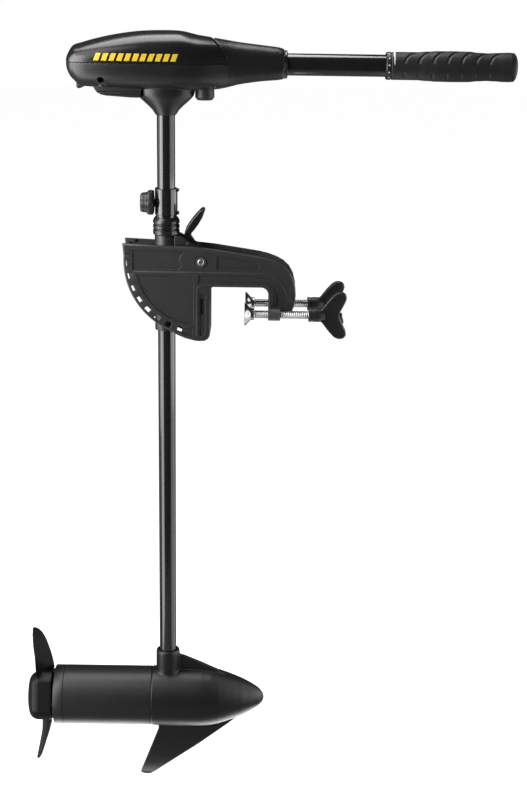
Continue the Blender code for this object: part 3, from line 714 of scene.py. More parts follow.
def bracket_ribs():
    """The raised lines on both plates: one over the spine and down the arm, and one round the jaw."""
    spine = [(-48, -16), (148, -16), (157, -17.4), (165, -20.6), (172.5, -26), (179, -33.4), (184, -42)]
    spine += [(187.4, -52)]
    jaw = [(48.6, -116), (48.6, -45), (49.4, -40.6), (52, -37.4), (56.6, -36), (147, -36), (154, -37.4)]
    jaw += [(160, -41.4), (163.8, -47.6), (165, -55), (165, -72)]
    shapes = []
    root, top = BRACKET_HALF - 1, BRACKET_HALF + RIB_HEIGHT
    for points in (spine, jaw):
        for low, high in ((-top, -root), (root, top)):
            shapes.append(rounded(ribbon(points, RIB_HALF), low, high, 0.5, 2))
    return shapes


def make_bracket():
    bracket = start_piece("bracket_body", rounded(bracket_outline(), -BRACKET_HALF, BRACKET_HALF, 2.2, 3))
    cut(bracket, extruded(channel_outline(), -CHANNEL_HALF, CHANNEL_HALF))
    bar = [(ARM_X + 1, CLAMP_Z - 6), (ARM_X + 18, CLAMP_Z - 6), (ARM_X + 18, -70), (ARM_X + 1, -70)]
    join(bracket, rounded(bar, -CLAMP_Y, CLAMP_Y, 1.0))
    for side in (-1, 1):
        centre = (0, side * CLAMP_Y, CLAMP_Z)
        join(bracket, rod(9.5, ARM_X, ARM_X + 19, "X", 64, centre, 1.0))
        cut(bracket, rod(SCREW_RADIUS + 0.35, ARM_X - 5, ARM_X + 24, "X", 48, centre))
    cut(bracket, groove_cutters(), window_cutters())
    cut(bracket, *bracket_pockets())
    join(bracket, *bracket_ribs())
    slot_outline = [(53.5, -57), (59.5, -57), (59.5, -83), (53.5, -83)]
    outside, floor = BRACKET_HALF + 1, BRACKET_HALF - 1.3
    recess = [(0, -outside), (9.6, -outside), (8.8, -floor), (0, -floor)]
    far_recess = [(radius, -y) for radius, y in recess]
    cut(bracket, pocket(slot_outline, 4.2))
    cut(bracket, *[turned(profile, "Y", 48, centre=(PIVOT_X, 0, 0)) for profile in (recess, far_recess)])
    cut(bracket, rod(PIN_RADIUS + 0.2, -40, 40, "Y", 48, (PIVOT_X, 0, 0)))
    dress(bracket, "bracket_black", "moulded_black", "transom_bracket")
    pin = [(0, -28.9), (3.4, -28.9), (4.4, -28.5), (PIN_RADIUS, -27.6), (PIN_RADIUS, 27.8)]
    pin += [(7.4, 27.8), (8, 28.4), (8, 30.2), (7, 31), (0, 31)]
    add_piece("pivot_pin_body", turned(pin, "Y", 48, centre=(PIVOT_X, 0, 0)), "steel", "steel", "pivot_pin")


# Clamp screws


def thread(radius, height, angle):
    """A rolled thread with rounded crests, for a screw along X."""
    turn = (height / THREAD_PITCH - angle / (2 * math.pi)) % 1
    wave = 0.5 - 0.5 * math.cos(2 * math.pi * turn)
    return radius - THREAD_DEPTH * wave**1.4


def make_clamp(side, name):
    centre = (0, side * CLAMP_Y, CLAMP_Z)
    start, end = PAD_X + 8.6, HUB_X + 11.8
    profile = [(0, start)] + [(SCREW_RADIUS, x) for x in spaced(start, end, 260)] + [(0, end)]
    screw = start_piece(f"{name}_screw_body", turned(profile, "X", 40, centre=centre, reach=thread))
    dress(screw, "bright_aluminium", "bright_aluminium", f"{name}_clamp_screw", sharp=60)
    x, rim = PAD_X, PAD_RADIUS - 0.6
    cup = [(rim, x), (PAD_RADIUS, x + 0.5), (rim, x + 2), (13, x + 5.6), (9.6, x + 8.6), (8.8, x + 10.4)]
    cup += [(8.8, x + 14.4), (8.2, x + 15), (6.6, x + 15), (6.6, x + 8), (10, x + 5), (15.8, x)]
    pad = start_piece(f"{name}_pad_body", turned(cup, "X", 64, ring=True, centre=centre))
    dress(pad, "bright_aluminium", "bright_aluminium", f"{name}_clamp_pad")
    upper = [(238, 9), (241, 11.5), (246, 18), (250.5, 24), (255, 29), (258.5, 32.6), (262, 35), (266, 36.4)]
    upper += [(270, 36.5), (273.6, 35.6), (276.4, 33.6), (278, 31), (278.5, 28), (277.6, 24), (276, 20)]
    upper += [(272.4, 12.6), (269, 6), (268, 1.5)]
    outline = upper + [(x, -z) for x, z in reversed(upper)]
    outline = [(x, z + CLAMP_Z) for x, z in outline]
    handle = start_piece(f"{name}_handle_body", rounded(outline, centre[1] - 6, centre[1] + 6, 2.6, 4))
    x = HUB_X
    hub = [(0, x), (10, x), (10.5, x + 0.5), (10.5, x + 4.5), (9.7, x + 5), (9.7, x + 6.4), (10.5, x + 7)]
    hub += [(10.5, x + 17), (9.8, x + 19.5), (8, x + 26), (0, x + 26)]
    join(handle, turned(hub, "X", 64, centre=centre), rod(4.2, 250, 272, "X", 32, centre, 1.2))
    cut(handle, rod(SCREW_RADIUS + 0.3, HUB_X - 5, HUB_X + 12.3, "X", 48, centre))
    dress(handle, "moulded_black", "moulded_black", f"{name}_clamp_handle")


# Hinge carrier, tension ring, release lever, depth collar and column tube


def strip(start, end, half):
    """A straight bar's outline between two (x, z) points."""
    run = Vector(end) - Vector(start)
    side = Vector((-run.y, run.x)).normalized() * half
    corners = (Vector(start) + side, Vector(end) + side, Vector(end) - side, Vector(start) - side)
    return [tuple(corner) for corner in corners]


def latch_place(radius):
    return about_pivot(radius, WINDOW_FIRST + WINDOW_STEP * (WINDOW_COUNT - 1))


def make_carrier():
    bore = SHAFT_RADIUS + 1.5
    profile = [(bore, CARRIER_BOTTOM), (17.4, CARRIER_BOTTOM), (SLEEVE_RADIUS, CARRIER_BOTTOM + 0.6)]
    profile += [(SLEEVE_RADIUS, CARRIER_TOP - 0.6), (17.6, CARRIER_TOP), (16.9, CARRIER_TOP)]
    profile += [(16.9, 56), (bore, 56)]
    carrier = start_piece("carrier_body", turned(profile, "Z", 96, ring=True))
    eye = arc((PIVOT_X, 0), 13, 60, -110, 14)
    cheek = [(13, CARRIER_TOP), (21, CARRIER_TOP), (36, 29.6), (50, 22)] + eye
    cheek += [(41, -17), (35.5, -25), (33, -36), (33, CARRIER_BOTTOM), (13, CARRIER_BOTTOM)]
    for side in (-1, 1):
        low, high = sorted((side * 9, side * 19))
        join(carrier, rounded(cheek, low, high, 1.0))
    join(carrier, block((16.5, -11, CARRIER_BOTTOM + 1), (32, 11, -88)))
    cut(carrier, block((SLEEVE_RADIUS + 0.3, -4, -130), (45, 4, -80)))
    cut(carrier, extruded(strip(latch_place(LATCH_RADIUS - 4), latch_place(125), 3.8), -30, 30))
    cut(carrier, rod(PIN_RADIUS + 0.2, -40, 40, "Y", 48, (PIVOT_X, 0, 0)))
    cut(carrier, rod(2.3, -30, 30, "Y", 24, (LEVER_PIVOT[0], 0, LEVER_PIVOT[1])))
    dress(carrier, "moulded_black", "moulded_black", "hinge_carrier")


def make_tension_ring():
    low = CARRIER_TOP + 0.3
    profile = [(17.2, low), (19.6, low), (RING_RADIUS, low + 0.9)]
    for z in (45, 52.4):
        profile += [(RING_RADIUS, z), (20, z + 0.4), (19.2, z + 1.2)]
        profile += [(19.2, z + 2.2), (20, z + 3), (RING_RADIUS, z + 3.4)]
    profile += [(RING_RADIUS, 59.6), (20.1, 60.6), (18, RING_TOP), (14.25, RING_TOP), (14.25, 57), (17.2, 57)]
    ring = start_piece("tension_ring_body", turned(profile, "Z", 96, ring=True))
    dress(ring, "satin_black", "moulded_black", "steering_tension_ring")


def make_lever():
    foot = [(27, 27), (28, 40), (31, 50), (38, 48), (38.5, 36), (44, 28), (50, 24.5), (48, 19.5), (40, 20.5)]
    foot += [(33, 21)]
    paddle = [(29, 44), (31, 49), (34, 54), (41, 64), (47.4, 71.6), (53, 77.5), (55.6, 79), (57.8, 79)]
    paddle += [(59.2, 77.6), (59.5, 75.4), (56, 66), (51, 57), (45, 48.4), (38, 40)]
    lever = start_piece("lever_body", rounded(foot, -6.5, 6.5, 1.2))
    join(lever, rounded(paddle, -12, 12, 2.4, 4))
    cut(lever, rod(2.3, -30, 30, "Y", 24, (LEVER_PIVOT[0], 0, LEVER_PIVOT[1])))
    dress(lever, "satin_black", "moulded_black", "release_lever")


def lobed(radius, height, angle):
    """A knob's section: six rounded lobes with hollows for the fingers."""
    wave = 0.5 - 0.5 * math.cos(6 * angle)
    return radius * (1 - 0.14 * wave**0.8) if radius > 10 else radius


def make_collar():
    bore = SHAFT_RADIUS + 0.35
    profile = [(bore, RING_TOP + 0.5), (16.2, RING_TOP + 0.5), (16.2, 68), (COLLAR_RADIUS - 0.5, 68)]
    profile += [(COLLAR_RADIUS, 68.6), (COLLAR_RADIUS, COLLAR_TOP - 0.7), (COLLAR_RADIUS - 0.7, COLLAR_TOP)]
    collar = start_piece("depth_collar_body", turned(profile + [(bore, COLLAR_TOP)], "Z", 96, ring=True))
    for low in (69, COLLAR_TOP - 5):
        ear = [(15.5, low), (19.6, low + 0.4), (19.6, low + 3.6), (15.5, low + 4)]
        join(collar, rounded(ear, -7, 7, 0.8))
    join(collar, rod(7, -20.8, -15.5, "X", 48, (0, 0, KNOB_Z), 0.6))
    cut(collar, rod(3.4, -30, -5, "X", 32, (0, 0, KNOB_Z)))
    dress(collar, "gloss_black", "moulded_black", "depth_collar")
    sections = [(0, -39.2), (8.2, -39.2), (9.4, -39.5), (12.6, -39.5), (14.4, -38.9), (15.4, -37.4)]
    sections += [(16, -34.5), (16.5, -30.4), (17.4, -29), (18.8, -28.2), (19.7, -27), (20, -25), (20, -21.6)]
    sections += [(19.6, -20), (18.4, -19), (16.4, -18.8), (7.6, -18.8), (7.6, -21.2), (3, -21.2)]
    sections += [(3, -14.5), (0, -14.5)]
    knob = start_piece("depth_knob_body", turned(sections, "X", 96, centre=(0, 0, KNOB_Z), reach=lobed))
    dress(knob, "moulded_black", "moulded_black", "depth_collar_knob")
    low = SHAFT_TOP - SHAFT_LENGTH
    tube = start_piece("shaft_body", pipe(SHAFT_RADIUS - SHAFT_WALL, SHAFT_RADIUS, low, SHAFT_TOP))
    dress(tube, "gloss_black", "gloss_black", "shaft_tube")


# Control head


def head_station(way):
    """x, half width, top and bottom at a place along the head, counted in stations from the rear."""
    number = min(int(way), len(HEAD_STATIONS) - 2)
    part = way - number
    rows = [HEAD_STATIONS[max(0, min(number + shift, len(HEAD_STATIONS) - 1))] for shift in (-1, 0, 1, 2)]
    values = []
    for before, here, after, later in zip(*rows):
        slope_in, slope_out = (after - before) / 2, (later - here) / 2
        square, cube = part**2, part**3
        value = here * (2 * cube - 3 * square + 1) + after * (3 * square - 2 * cube)
        values.append(value + slope_in * (cube - 2 * square + part) + slope_out * (cube - square))
    return values


def way_at(x):
    """The place along the head where it has an x, found by halving."""
    low, high = 0.0, len(HEAD_STATIONS) - 1.0
    for _ in range(40):
        half = (low + high) / 2
        if head_station(half)[0] < x:
            low = half
        else:
            high = half
    return low


def head_point(way, angle, draw_in=0.0):
    """A point on the head's skin, or inside it, at an angle round it from its left side over the top."""
    x, half_width, top, bottom = head_station(way)
    across, up = math.cos(angle), math.sin(angle)
    height = max((top if up > 0 else 2 * SEAM_Z - bottom) - SEAM_Z - draw_in, 0.05)
    y = math.copysign(abs(across) ** 0.8, across) * max(half_width - draw_in, 0.05)
    return x, y, SEAM_Z + math.copysign(abs(up) ** 0.8, up) * height


def head_ring(way, draw_in=0.0, count=72):
    return [head_point(way, angle, draw_in) for angle in circle(count)]


def head_lofted(low, high, steps, draw_in=0.0):
    return lofted([head_ring(way, draw_in) for way in spaced(low, high, steps)])


def cover_front(angle):
    return COVER_FRONT_X - COVER_FRONT_LEAN * math.sin(angle) ** 1.6


def thick_skin(outer, inner):
    """Two grids of points, joined to each other round their whole border."""
    wide = len(outer[0])
    size = wide * len(outer)
    points = [point for grid in (outer, inner) for line in grid for point in line]
    faces = []
    for corner in range(size - wide):
        if (corner + 1) % wide:
            for start in (corner, corner + size):
                faces.append((start, start + 1, start + wide + 1, start + wide))
    border = list(range(wide - 1)) + list(range(wide - 1, size - 1, wide))
    border += list(range(size - 1, size - wide, -1)) + list(range(size - wide, 0, -wide))
    for first, second in zip(border, border[1:] + border[:1]):
        faces.append((first, second, second + size, first + size))
    return points, faces


def cover_grid(start, draw_in, steps=110, turns=56):
    """The cover's outer or inner skin, from a station at the rear to its slanted front edge."""
    grid = []
    for turn in range(turns + 1):
        angle = math.pi * turn / turns
        end = way_at(cover_front(angle))
        ways = [start + (end - start) * (step / steps) ** 0.85 for step in range(steps + 1)]
        line = [head_point(way, angle, draw_in) for way in ways]
        grid.append([(x, y, z + SEAM_GAP) for x, y, z in line])
    return grid


def cover_side():
    """The side view of the space that the cover takes, for cutting it out of the head."""
    low = SEAM_Z - SEAM_GAP
    front = [(cover_front(math.asin(rise / 10)) + 0.5, SEAM_Z + 4 * rise) for rise in range(1, 11)]
    return [(-200, low), (COVER_FRONT_X + 0.5, low)] + front + [(60, 400), (-200, 400)]


def bar_shape(number, side, columns=4, rows=6):
    """One slanted bar of the stripe, laid on the cover's skin."""
    left = BAR_START_X + BAR_PITCH * number
    grids = []
    for lift in (0.4, -0.5):
        grid = []
        for row, z in enumerate(spaced(*BAR_HEIGHTS, rows)):
            line = []
            for column in range(columns + 1):
                x = left + BAR_WIDTH * column / columns + BAR_SLANT * row / rows
                _, half_width, top, _ = head_station(way_at(x))
                up = ((z - SEAM_Z - SEAM_GAP) / (top - SEAM_Z)) ** 1.25
                across = math.sqrt(1 - up**2)
                line.append((x, side * (half_width * across**0.8 + lift), z + lift * up))
            grid.append(line)
        grids.append(grid)
    return thick_skin(*grids)


def make_head():
    skins = cover_grid(0.0, 0.0), cover_grid(2.4, HEAD_WALL)
    add_piece("head_cover_body", thick_skin(*skins), "satin_black", "satin_black", "head_top_cover", sharp=45)
    last = len(HEAD_STATIONS) - 1
    lower = start_piece("head_housing_body", head_lofted(0, last, 90))
    cut(lower, extruded(cover_side(), -80, 80))
    neck = []
    for long, wide, z in NECK_STATIONS:
        neck.append([(long * math.cos(turn), wide * math.sin(turn), z) for turn in circle(64)])
    lip = [(-133, 265), (-133, 259.5), (-131, 257.6), (-127, 257.8), (-122.5, 260), (-119, 265)]
    join(lower, lofted(neck), rounded(lip, -13, 13, 1.2))
    cut(lower, head_lofted(2.4, way_at(98), 60, HEAD_WALL))
    cut(lower, rod(SHAFT_RADIUS + 0.3, 200, SHAFT_TOP + 0.3, "Z", 48), rod(10, 210, 280, "Z", 32))
    cut(lower, rod(TUBE_RADIUS + 0.3, 90, 200, "X", 48, (0, 0, TILLER_Z)))
    for x, y, floor in COVER_SCREWS:
        join(lower, rod(6.5, floor, 272, "Z", 40, (x, y, 0)))
        seat = floor + 3.3
        hole = [(0, 240), (4.4, 240), (4.4, seat), (2.3, seat), (2.3, 280), (0, 280)]
        cut(lower, turned(hole, "Z", 32, centre=(x, y, 0)))
    # small holes in the rear's sides, in the tiller's sleeve and in the neck
    for side in (-1, 1):
        cut(lower, rod(4.6, 43.5 * side - 8, 43.5 * side + 8, "Y", 32, (-93, 0, 272.5)))
        cut(lower, rod(2.4, 28 * side - 5, 28 * side + 5, "Y", 24, (125, 0, 278)))
        cut(lower, rod(1.7, 18 * side - 4, 18 * side + 4, "Y", 24, (-13 if side < 0 else 13, 0, 224)))
    blended(lower, 1.1, 4)
    dress(lower, "head_black", "moulded_black", "head_lower_housing")
    outline = [(-108, 263), (-104, 257), (-101, 253), (-95, 250), (-88, 248.5), (-50, 246), (-36, 246)]
    plate = start_piece("underside_plate_body", rounded(outline + [(-34, 263)], -24, 24, 1.4))
    for side in (-1, 1):
        for low in (249.8, 253.8):
            low_y, high_y = sorted((side * 22.4, side * 30))
            cut(plate, block((-120, low_y, low), (-20, high_y, low + 1.8)))
    dress(plate, "dark_plastic", "dark_plastic", "underside_plate")
    gland = [(4.5, 242), (10.8, 242), (12, 243), (13.2, 244.6), (14.5, 246), (14.5, 260), (4.5, 260)]
    piece = start_piece("lead_gland_body", turned(gland, "Z", 64, ring=True, centre=(58.5, 0, 0)))
    dress(piece, "dark_plastic", "dark_plastic", "lead_gland")
    bore = TUBE_RADIUS + 0.3
    bezel = [(bore, 177.3), (21.2, 177.3), (21.6, 177.8), (21.2, 178.4), (20.2, 178.6), (20.2, 179.4)]
    bezel += [(20.9, 179.6), (20.9, 180.6), (19.8, 181.2), (18.6, 182), (bore, 182)]
    piece = start_piece("tiller_bezel_body", turned(bezel, "X", 96, ring=True, centre=(0, 0, TILLER_Z)))
    dress(piece, "gloss_black", "dark_plastic", "tiller_bezel")
    for side, name in ((-1, "right"), (1, "left")):
        bars = combined([bar_shape(number, side) for number in range(BAR_COUNT)])
        accent(f"{name}_stripe", bars, "accent_yellow", "head_top_cover")


# Tiller


def grip_reach(radius, height, angle):
    """The grip's surface: slanted grooves that meet over the top, and short notches underneath."""
    if radius < 19:
        return radius
    lift = math.degrees(math.asin(max(-1.0, min(1.0, math.sin(angle)))))
    lead = GRIP_LEAD * (max(0.0, lift - GROOVE_FROM) / (90 - GROOVE_FROM)) ** 1.55
    across = (height - lead - GRIP_GROOVE_X) / GRIP_GROOVE_PITCH
    number = max(0, min(GRIP_GROOVES - 1, round(across)))
    distance = (across - number) * GRIP_GROOVE_PITCH
    if lift > 0:
        width = 3.4 if distance > 0 else 1.5
        held = min(1.0, max(0.0, (lift - GROOVE_FROM + 8) / 10))
    else:
        width = 2.2
        held = max(0.0, 1 - abs(lift + 38) / 14) ** 0.6
    groove = max(0.0, 1 - (distance / width) ** 2)
    return radius - GRIP_GROOVE_DEPTH * groove * held


def spline_radius(profile, height):
    for (x0, r0), (x1, r1) in zip(profile, profile[1:]):
        if height <= x1:
            part = (height - x0) / (x1 - x0)
            return r0 + (r1 - r0) * (3 * part**2 - 2 * part**3)
    return profile[-1][1]


def make_tiller():
    centre = (0, 0, TILLER_Z)
    wall = pipe(TUBE_RADIUS - 2.6, TUBE_RADIUS, TUBE_INNER_X, TUBE_OUTER_X, "X", 96, centre)
    add_piece("tiller_tube_body", wall, "gloss_black", "gloss_black", "tiller_tube")
    bore = TUBE_RADIUS + 0.3
    dial = [(bore, DIAL_X), (18, DIAL_X), (18.8, DIAL_X + 0.3), (20.3, DIAL_X + 1.6)]
    dial += [(GRIP_RADIUS, DIAL_X + 2.2), (GRIP_RADIUS, GRIP_X - 0.8)]
    dial += [(GRIP_RADIUS - 0.5, GRIP_X - 0.3), (bore, GRIP_X - 0.3)]
    ring = start_piece("speed_dial_body", turned(dial, "X", 96, ring=True, centre=centre))
    dress(ring, "moulded_black", "moulded_black", "speed_dial_ring")
    dots = []
    for number in range(9):
        angle = math.radians(84 + 30 * number)
        spot = (DIAL_X + 4.6, math.cos(angle) * 20.4, TILLER_Z + math.sin(angle) * 20.4)
        dots.append(turned([(0, -0.3), (1.1, -0.3), (1.1, 0.2), (0.8, 0.32), (0, 0.32)], "Z", 20))
        turn = Matrix.Rotation(angle - math.pi / 2, 3, "X")
        dots[-1] = ([turn @ point + Vector(spot) for point in dots[-1][0]], dots[-1][1])
    accent("dial_marks", combined(dots), "mark_white", "speed_dial_ring")
    start, end = GRIP_PROFILE[0][0], GRIP_PROFILE[-1][0]
    skin = [(spline_radius(GRIP_PROFILE, x), x) for x in spaced(start, end, 300)]
    skin = [(18.2, start)] + skin + [(18.2, end)]
    sleeve = turned(skin, "X", 120, ring=True, centre=centre, reach=grip_reach)
    add_piece("grip_sleeve_body", sleeve, "black_rubber", "black_rubber", "grip_sleeve", sharp=60)
    rings = []
    for step in range(21):
        angle = math.radians(90 + 82 * step / 20)
        width = 1.9 - 1.4 * step / 20
        edges = ((19.6, -width), (20.78, -width), (20.78, width), (19.6, width))
        rings.append([(340.4 + x, r * math.cos(angle), TILLER_Z + r * math.sin(angle)) for r, x in edges])
    accent("grip_pointer", lofted(rings), "mark_white", "grip_sleeve")
    cap = [(0, 512.2), (4.3, 512.2), (4.3, 500), (13, 500), (13, GRIP_END_X), (20.6, GRIP_END_X)]
    cap += [(21.4, 517.6), (21.2, 518.6), (20, 520.4), (17, 522.4), (12, 524), (6, 524.8), (0, 525)]
    end_cap = start_piece("grip_end_body", turned(cap, "X", 96, centre=centre))
    dress(end_cap, "black_rubber", "moulded_black", "grip_end_cap")


# Lower unit


def at_motor(outline):
    return [(x, z + MOTOR_Z) for x, z in outline]


def make_nose():
    centre = (0, 0, MOTOR_Z)
    profile = [(0, 64), (11.3, 64), (11.3, 52), (20, 48), (35, 44), (35, -18), (MOTOR_BORE, -18)]
    profile += [(MOTOR_BORE, -26.1), (49.1, -26.1), (49.5, -25.4), (49.8, 0), (49.8, 20), (49.7, 40)]
    profile += [(49.3, 56), (47.6, 72), (44.8, 85), (41, 97), (36.3, 110), (30.7, 124), (24.2, 137)]
    profile += [(20.4, 143.8), (16.4, 150), (12.8, 154), (9, 157), (5, 159.4), (0, 160.5)]
    nose = start_piece("nose_body", turned(profile, "X", 96, centre=centre))
    gusset = [(12, 34), (12, 76), (20, 76), (26.6, 74.4), (56, 61.8), (83, 49.3), (100, 39), (100, 34)]
    skeg = [(-17, -40), (-17, -61.6), (-47, -141), (-47, -143.6), (-44, -145.5), (-38, -146.4), (-31, -146.5)]
    skeg += [(-22, -141.6), (52, -88.5), (100, -51), (128, -27), (118, -18)]
    socket = [(SOCKET_RADIUS + 1.5, 40), (SOCKET_RADIUS + 0.4, 50), (SOCKET_RADIUS, 56), (SOCKET_RADIUS, 81)]
    socket += [(19, 84.5), (17.8, SOCKET_TOP - 0.4), (16.8, SOCKET_TOP)]
    upright = turned([(0, 40)] + socket + [(0, SOCKET_TOP)], "Z", 72, centre=centre)
    join(nose, upright, rounded(at_motor(gusset), -4, 4, 1.2), rounded(at_motor(skeg), -3, 3, 1.6))
    seat = SHAFT_TOP - SHAFT_LENGTH - MOTOR_Z
    bore = rod(SHAFT_RADIUS + 0.3, MOTOR_Z + seat - 0.3, MOTOR_Z + 100, "Z", 48)
    cut(nose, bore, rod(8, MOTOR_Z + 20, MOTOR_Z + 80, "Z", 32))
    blended(nose, 1.0, 5)
    dress(nose, "painted_black", "painted_black", "nose_housing")


def make_housings():
    centre = (0, 0, MOTOR_Z)
    low, high = REAR_SEAM_X + 0.3, NOSE_SEAM_X
    tube = start_piece("motor_tube_body", pipe(MOTOR_BORE, MOTOR_RADIUS, low, high, "X", 128, centre, 0.6))
    dress(tube, "painted_black", "painted_black", "motor_center_housing")
    face = REAR_SEAM_X
    rear = [(5.4, -188.3), (44, REAR_END_X), (47.4, REAR_END_X), (48.4, -188.2), (MOTOR_RADIUS, -187.2)]
    rear += [(MOTOR_RADIUS, face - 0.5), (48.5, face), (47, face), (47, face - 2.1), (44.6, face - 2.1)]
    rear += [(44.6, face), (30, face), (30, -178), (11.3, -178), (11.3, -187), (5.4, -187)]
    end = start_piece("rear_end_body", turned(rear, "X", 128, ring=True, centre=centre))
    bolt_hole = [(0, -200), (4.8, -200), (4.8, -184), (2.8, -184), (2.8, -160), (0, -160)]
    for side in (-1, 1):
        cut(end, turned(bolt_hole, "X", 40, centre=(0, side * BOLT_OFFSET, MOTOR_Z)))
    dress(end, "painted_black", "painted_black", "rear_end_housing")


def hub_reach(radius, height, angle):
    """The propeller hub's section: round, rounded into a square by four flats."""
    if radius < 30:
        return radius
    far = radius
    for turn in HUB_FLAT_TURNS:
        off = math.cos(angle - math.radians(turn))
        if off > 0.5:
            far = min(far, HUB_FLAT * radius / 47 / off)
    return far


def blade_ring(reach, chord, pitch, centre_x, thick, side, count=28):
    lean = math.radians(pitch)
    points = []
    for angle in circle(count):
        along_chord = chord / 2 * math.cos(angle)
        across = thick / 2 * math.sin(angle)
        x = along_chord * math.sin(lean) + across * math.cos(lean)
        y = along_chord * math.cos(lean) - across * math.sin(lean)
        points.append((centre_x + x, side * y, MOTOR_Z + side * reach))
    return points


def make_propeller():
    centre = (0, 0, MOTOR_Z)
    hub = [(5.3, -191), (44.6, -191), (46.2, -191.5), (47, -192.8), (47, -214), (46, -219), (43.4, -223.6)]
    hub += [(39, -227.4), (34, -229.8), (28, -231.4), (22, -232), (15, -232), (14, -231), (14, -222)]
    hub = turned(hub + [(5.3, -222)], "X", 144, ring=True, centre=centre, reach=hub_reach)
    propeller = start_piece("propeller_body", hub)
    for side in (-1, 1):
        join(propeller, lofted([blade_ring(*section, side) for section in BLADE_SECTIONS]))
    cut(propeller, block((-199.5, -2.4, MOTOR_Z - 14), (-190, 2.4, MOTOR_Z + 14)))
    blended(propeller, 0.8, 3)
    dress(propeller, "propeller_black", "moulded_black", "propeller")


# Stage


def make_camera():
    data = bpy.data.cameras.new("camera")
    data.lens = CAMERA_LENS
    data.sensor_width = 36
    data.clip_end = 60
    camera = bpy.data.objects.new("camera", data)
    tilt = Matrix.Rotation(math.radians(CAMERA_TILT), 4, "X")
    roll = Matrix.Rotation(math.radians(CAMERA_ROLL), 4, "Z")
    camera.matrix_world = Matrix.Translation(CAMERA_PLACE) @ (tilt @ roll)
    bpy.context.scene.collection.objects.link(camera)
    bpy.context.scene.camera = camera


def softbox(name, place_at, target, width, height, brightness):
    """A soft rectangular light that the camera doesn't see. brightness is what its face shows."""
    data = bpy.data.lights.new(name, "AREA")
    data.shape = "RECTANGLE"
    data.size = width
    data.size_y = height
    data.energy = brightness * math.pi * width * height
    light = bpy.data.objects.new(name, data)
    light.location = place_at
    light.rotation_euler = (Vector(target) - Vector(place_at)).to_track_quat("-Z", "Y").to_euler()
    light.visible_camera = False
    bpy.context.scene.collection.objects.link(light)
    return light


def make_lights():
    softbox("left_softbox", (-1.9, -0.3, -0.05), (0, -0.3, -0.05), 1.5, 1.5, 2.2)
    softbox("front_left_softbox", (-1.51, -1.18, 1.28), (-0.2, 0, 0.34), 1.5, 2.6, 3.2)
    softbox("right_softbox", (1.9, -0.1, -0.05), (0, -0.1, -0.05), 2.8, 1.5, 1.8)
    softbox("top_softbox", (-0.35, 0.35, 1.9), (-0.15, 0, 0.2), 1.5, 1.1, 6.5)
    softbox("upper_strip", (-0.54, -0.31, 0.28), (-0.1, -0.31, 0.28), 0.4, 0.66, 6.0)
    softbox("lower_strip", (-0.54, -0.31, -0.45), (-0.1, -0.31, -0.45), 0.4, 0.78, 4.0)
    softbox("right_strip", (0.32, -0.03, -0.37), (0, -0.03, -0.37), 0.6, 0.94, 1.2)
    softbox("under_softbox", (-0.1, 0.1, CAD_BOX[0][2] + 0.004), (-0.1, 0.1, 0), 0.46, 0.24, 4.2)


def make_world():
    """White to the camera, and dim to everything else, so that black surfaces stay black."""
    world = bpy.data.worlds.new("studio")
    world.use_nodes = True
    tree = world.node_tree
    tree.nodes.clear()
    seen = node(tree, "ShaderNodeBackground", {"Color": (1, 1, 1, 1), "Strength": 1.0})
    dim = node(tree, "ShaderNodeBackground", {"Color": (1, 1, 1, 1), "Strength": 0.05})
    ray = node(tree, "ShaderNodeLightPath").outputs["Is Camera Ray"]
    both = node(tree, "ShaderNodeMixShader", {0: ray, 1: dim.outputs[0], 2: seen.outputs[0]})
    node(tree, "ShaderNodeOutputWorld", {"Surface": both.outputs[0]})
    bpy.context.scene.world = world


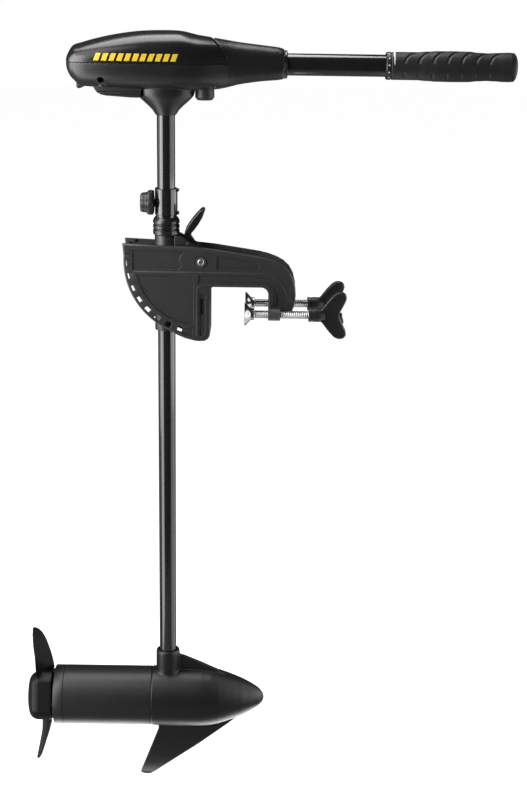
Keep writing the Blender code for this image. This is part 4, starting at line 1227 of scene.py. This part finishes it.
def make_floor():
    made = bpy.data.materials.new("pale_floor")
    made.use_nodes = True
    tree = made.node_tree
    shader = tree.nodes["Principled BSDF"]
    place_in = node(tree, "ShaderNodeTexCoord").outputs["Object"]
    ray = node(tree, "ShaderNodeLightPath").outputs["Is Camera Ray"]
    pale = mixed(tree, noise(tree, place_in, 3), (0.5, 0.5, 0.5, 1), (0.55, 0.55, 0.55, 1))
    tree.links.new(mixed(tree, ray, (0.16, 0.16, 0.16, 1), pale), shader.inputs["Base Color"])
    shader.inputs["Roughness"].default_value = 0.9
    shader.inputs["Emission Color"].default_value = (1, 1, 1, 1)
    tree.links.new(scaled(tree, ray, 0.06, 0.96), shader.inputs["Emission Strength"])
    bottom = CAD_BOX[0][2] - 0.002
    near, far, wide = -0.9, 14.0, 9.0
    corners = [(-wide, near), (wide, near), (wide, far), (-wide, far)]
    mesh = bpy.data.meshes.new("floor")
    mesh.from_pydata([(x, y, bottom) for x, y in corners], [], [(0, 1, 2, 3)])
    floor = bpy.data.objects.new("floor", mesh)
    mesh.materials.append(made)
    bpy.context.scene.collection.objects.link(floor)


# CAD nodes that stay, by the finish they take
KEPT_FINISHES = {
    "steel": (
        "pivot_pin_clip", "lever_pin", "latch_pin", "latch_bar", "drive_rod", "front_bearing", "rear_bearing",
        "left_through_bolt", "right_through_bolt",
        "armature_shaft", "propeller_drive_pin", "propeller_nut", "propeller_washer",
    ),
    "acetal": ("upper_shaft_bushing", "lower_shaft_bushing", "switch_rotor", "brush_plate", "motor_lead"),
    "dark_plastic": ("speed_switch", "shaft_seal"),
    "iron": (
        "upper_magnet", "lower_magnet", "armature_core",
        "cover_screw_1", "cover_screw_2", "cover_screw_3", "cover_screw_4",
    ),
    "copper": ("left_brush", "right_brush", "commutator"),
    "black_rubber": ("front_o_ring", "rear_o_ring"),
    "moulded_black": ("grip_core",),
}


def finish_kept_nodes():
    for look, names in KEPT_FINISHES.items():
        for name in names:
            obj = frame["nodes"][name]
            obj.data.materials.clear()
            obj.data.materials.append(LOOKS[look])


make_bracket()
make_clamp(-1, "right")
make_clamp(1, "left")
make_carrier()
make_tension_ring()
make_lever()
make_collar()
make_head()
make_tiller()
make_nose()
make_housings()
make_propeller()
finish_kept_nodes()
make_camera()
make_lights()
make_world()
make_floor()
bpy.context.scene.view_settings.view_transform = "Standard"
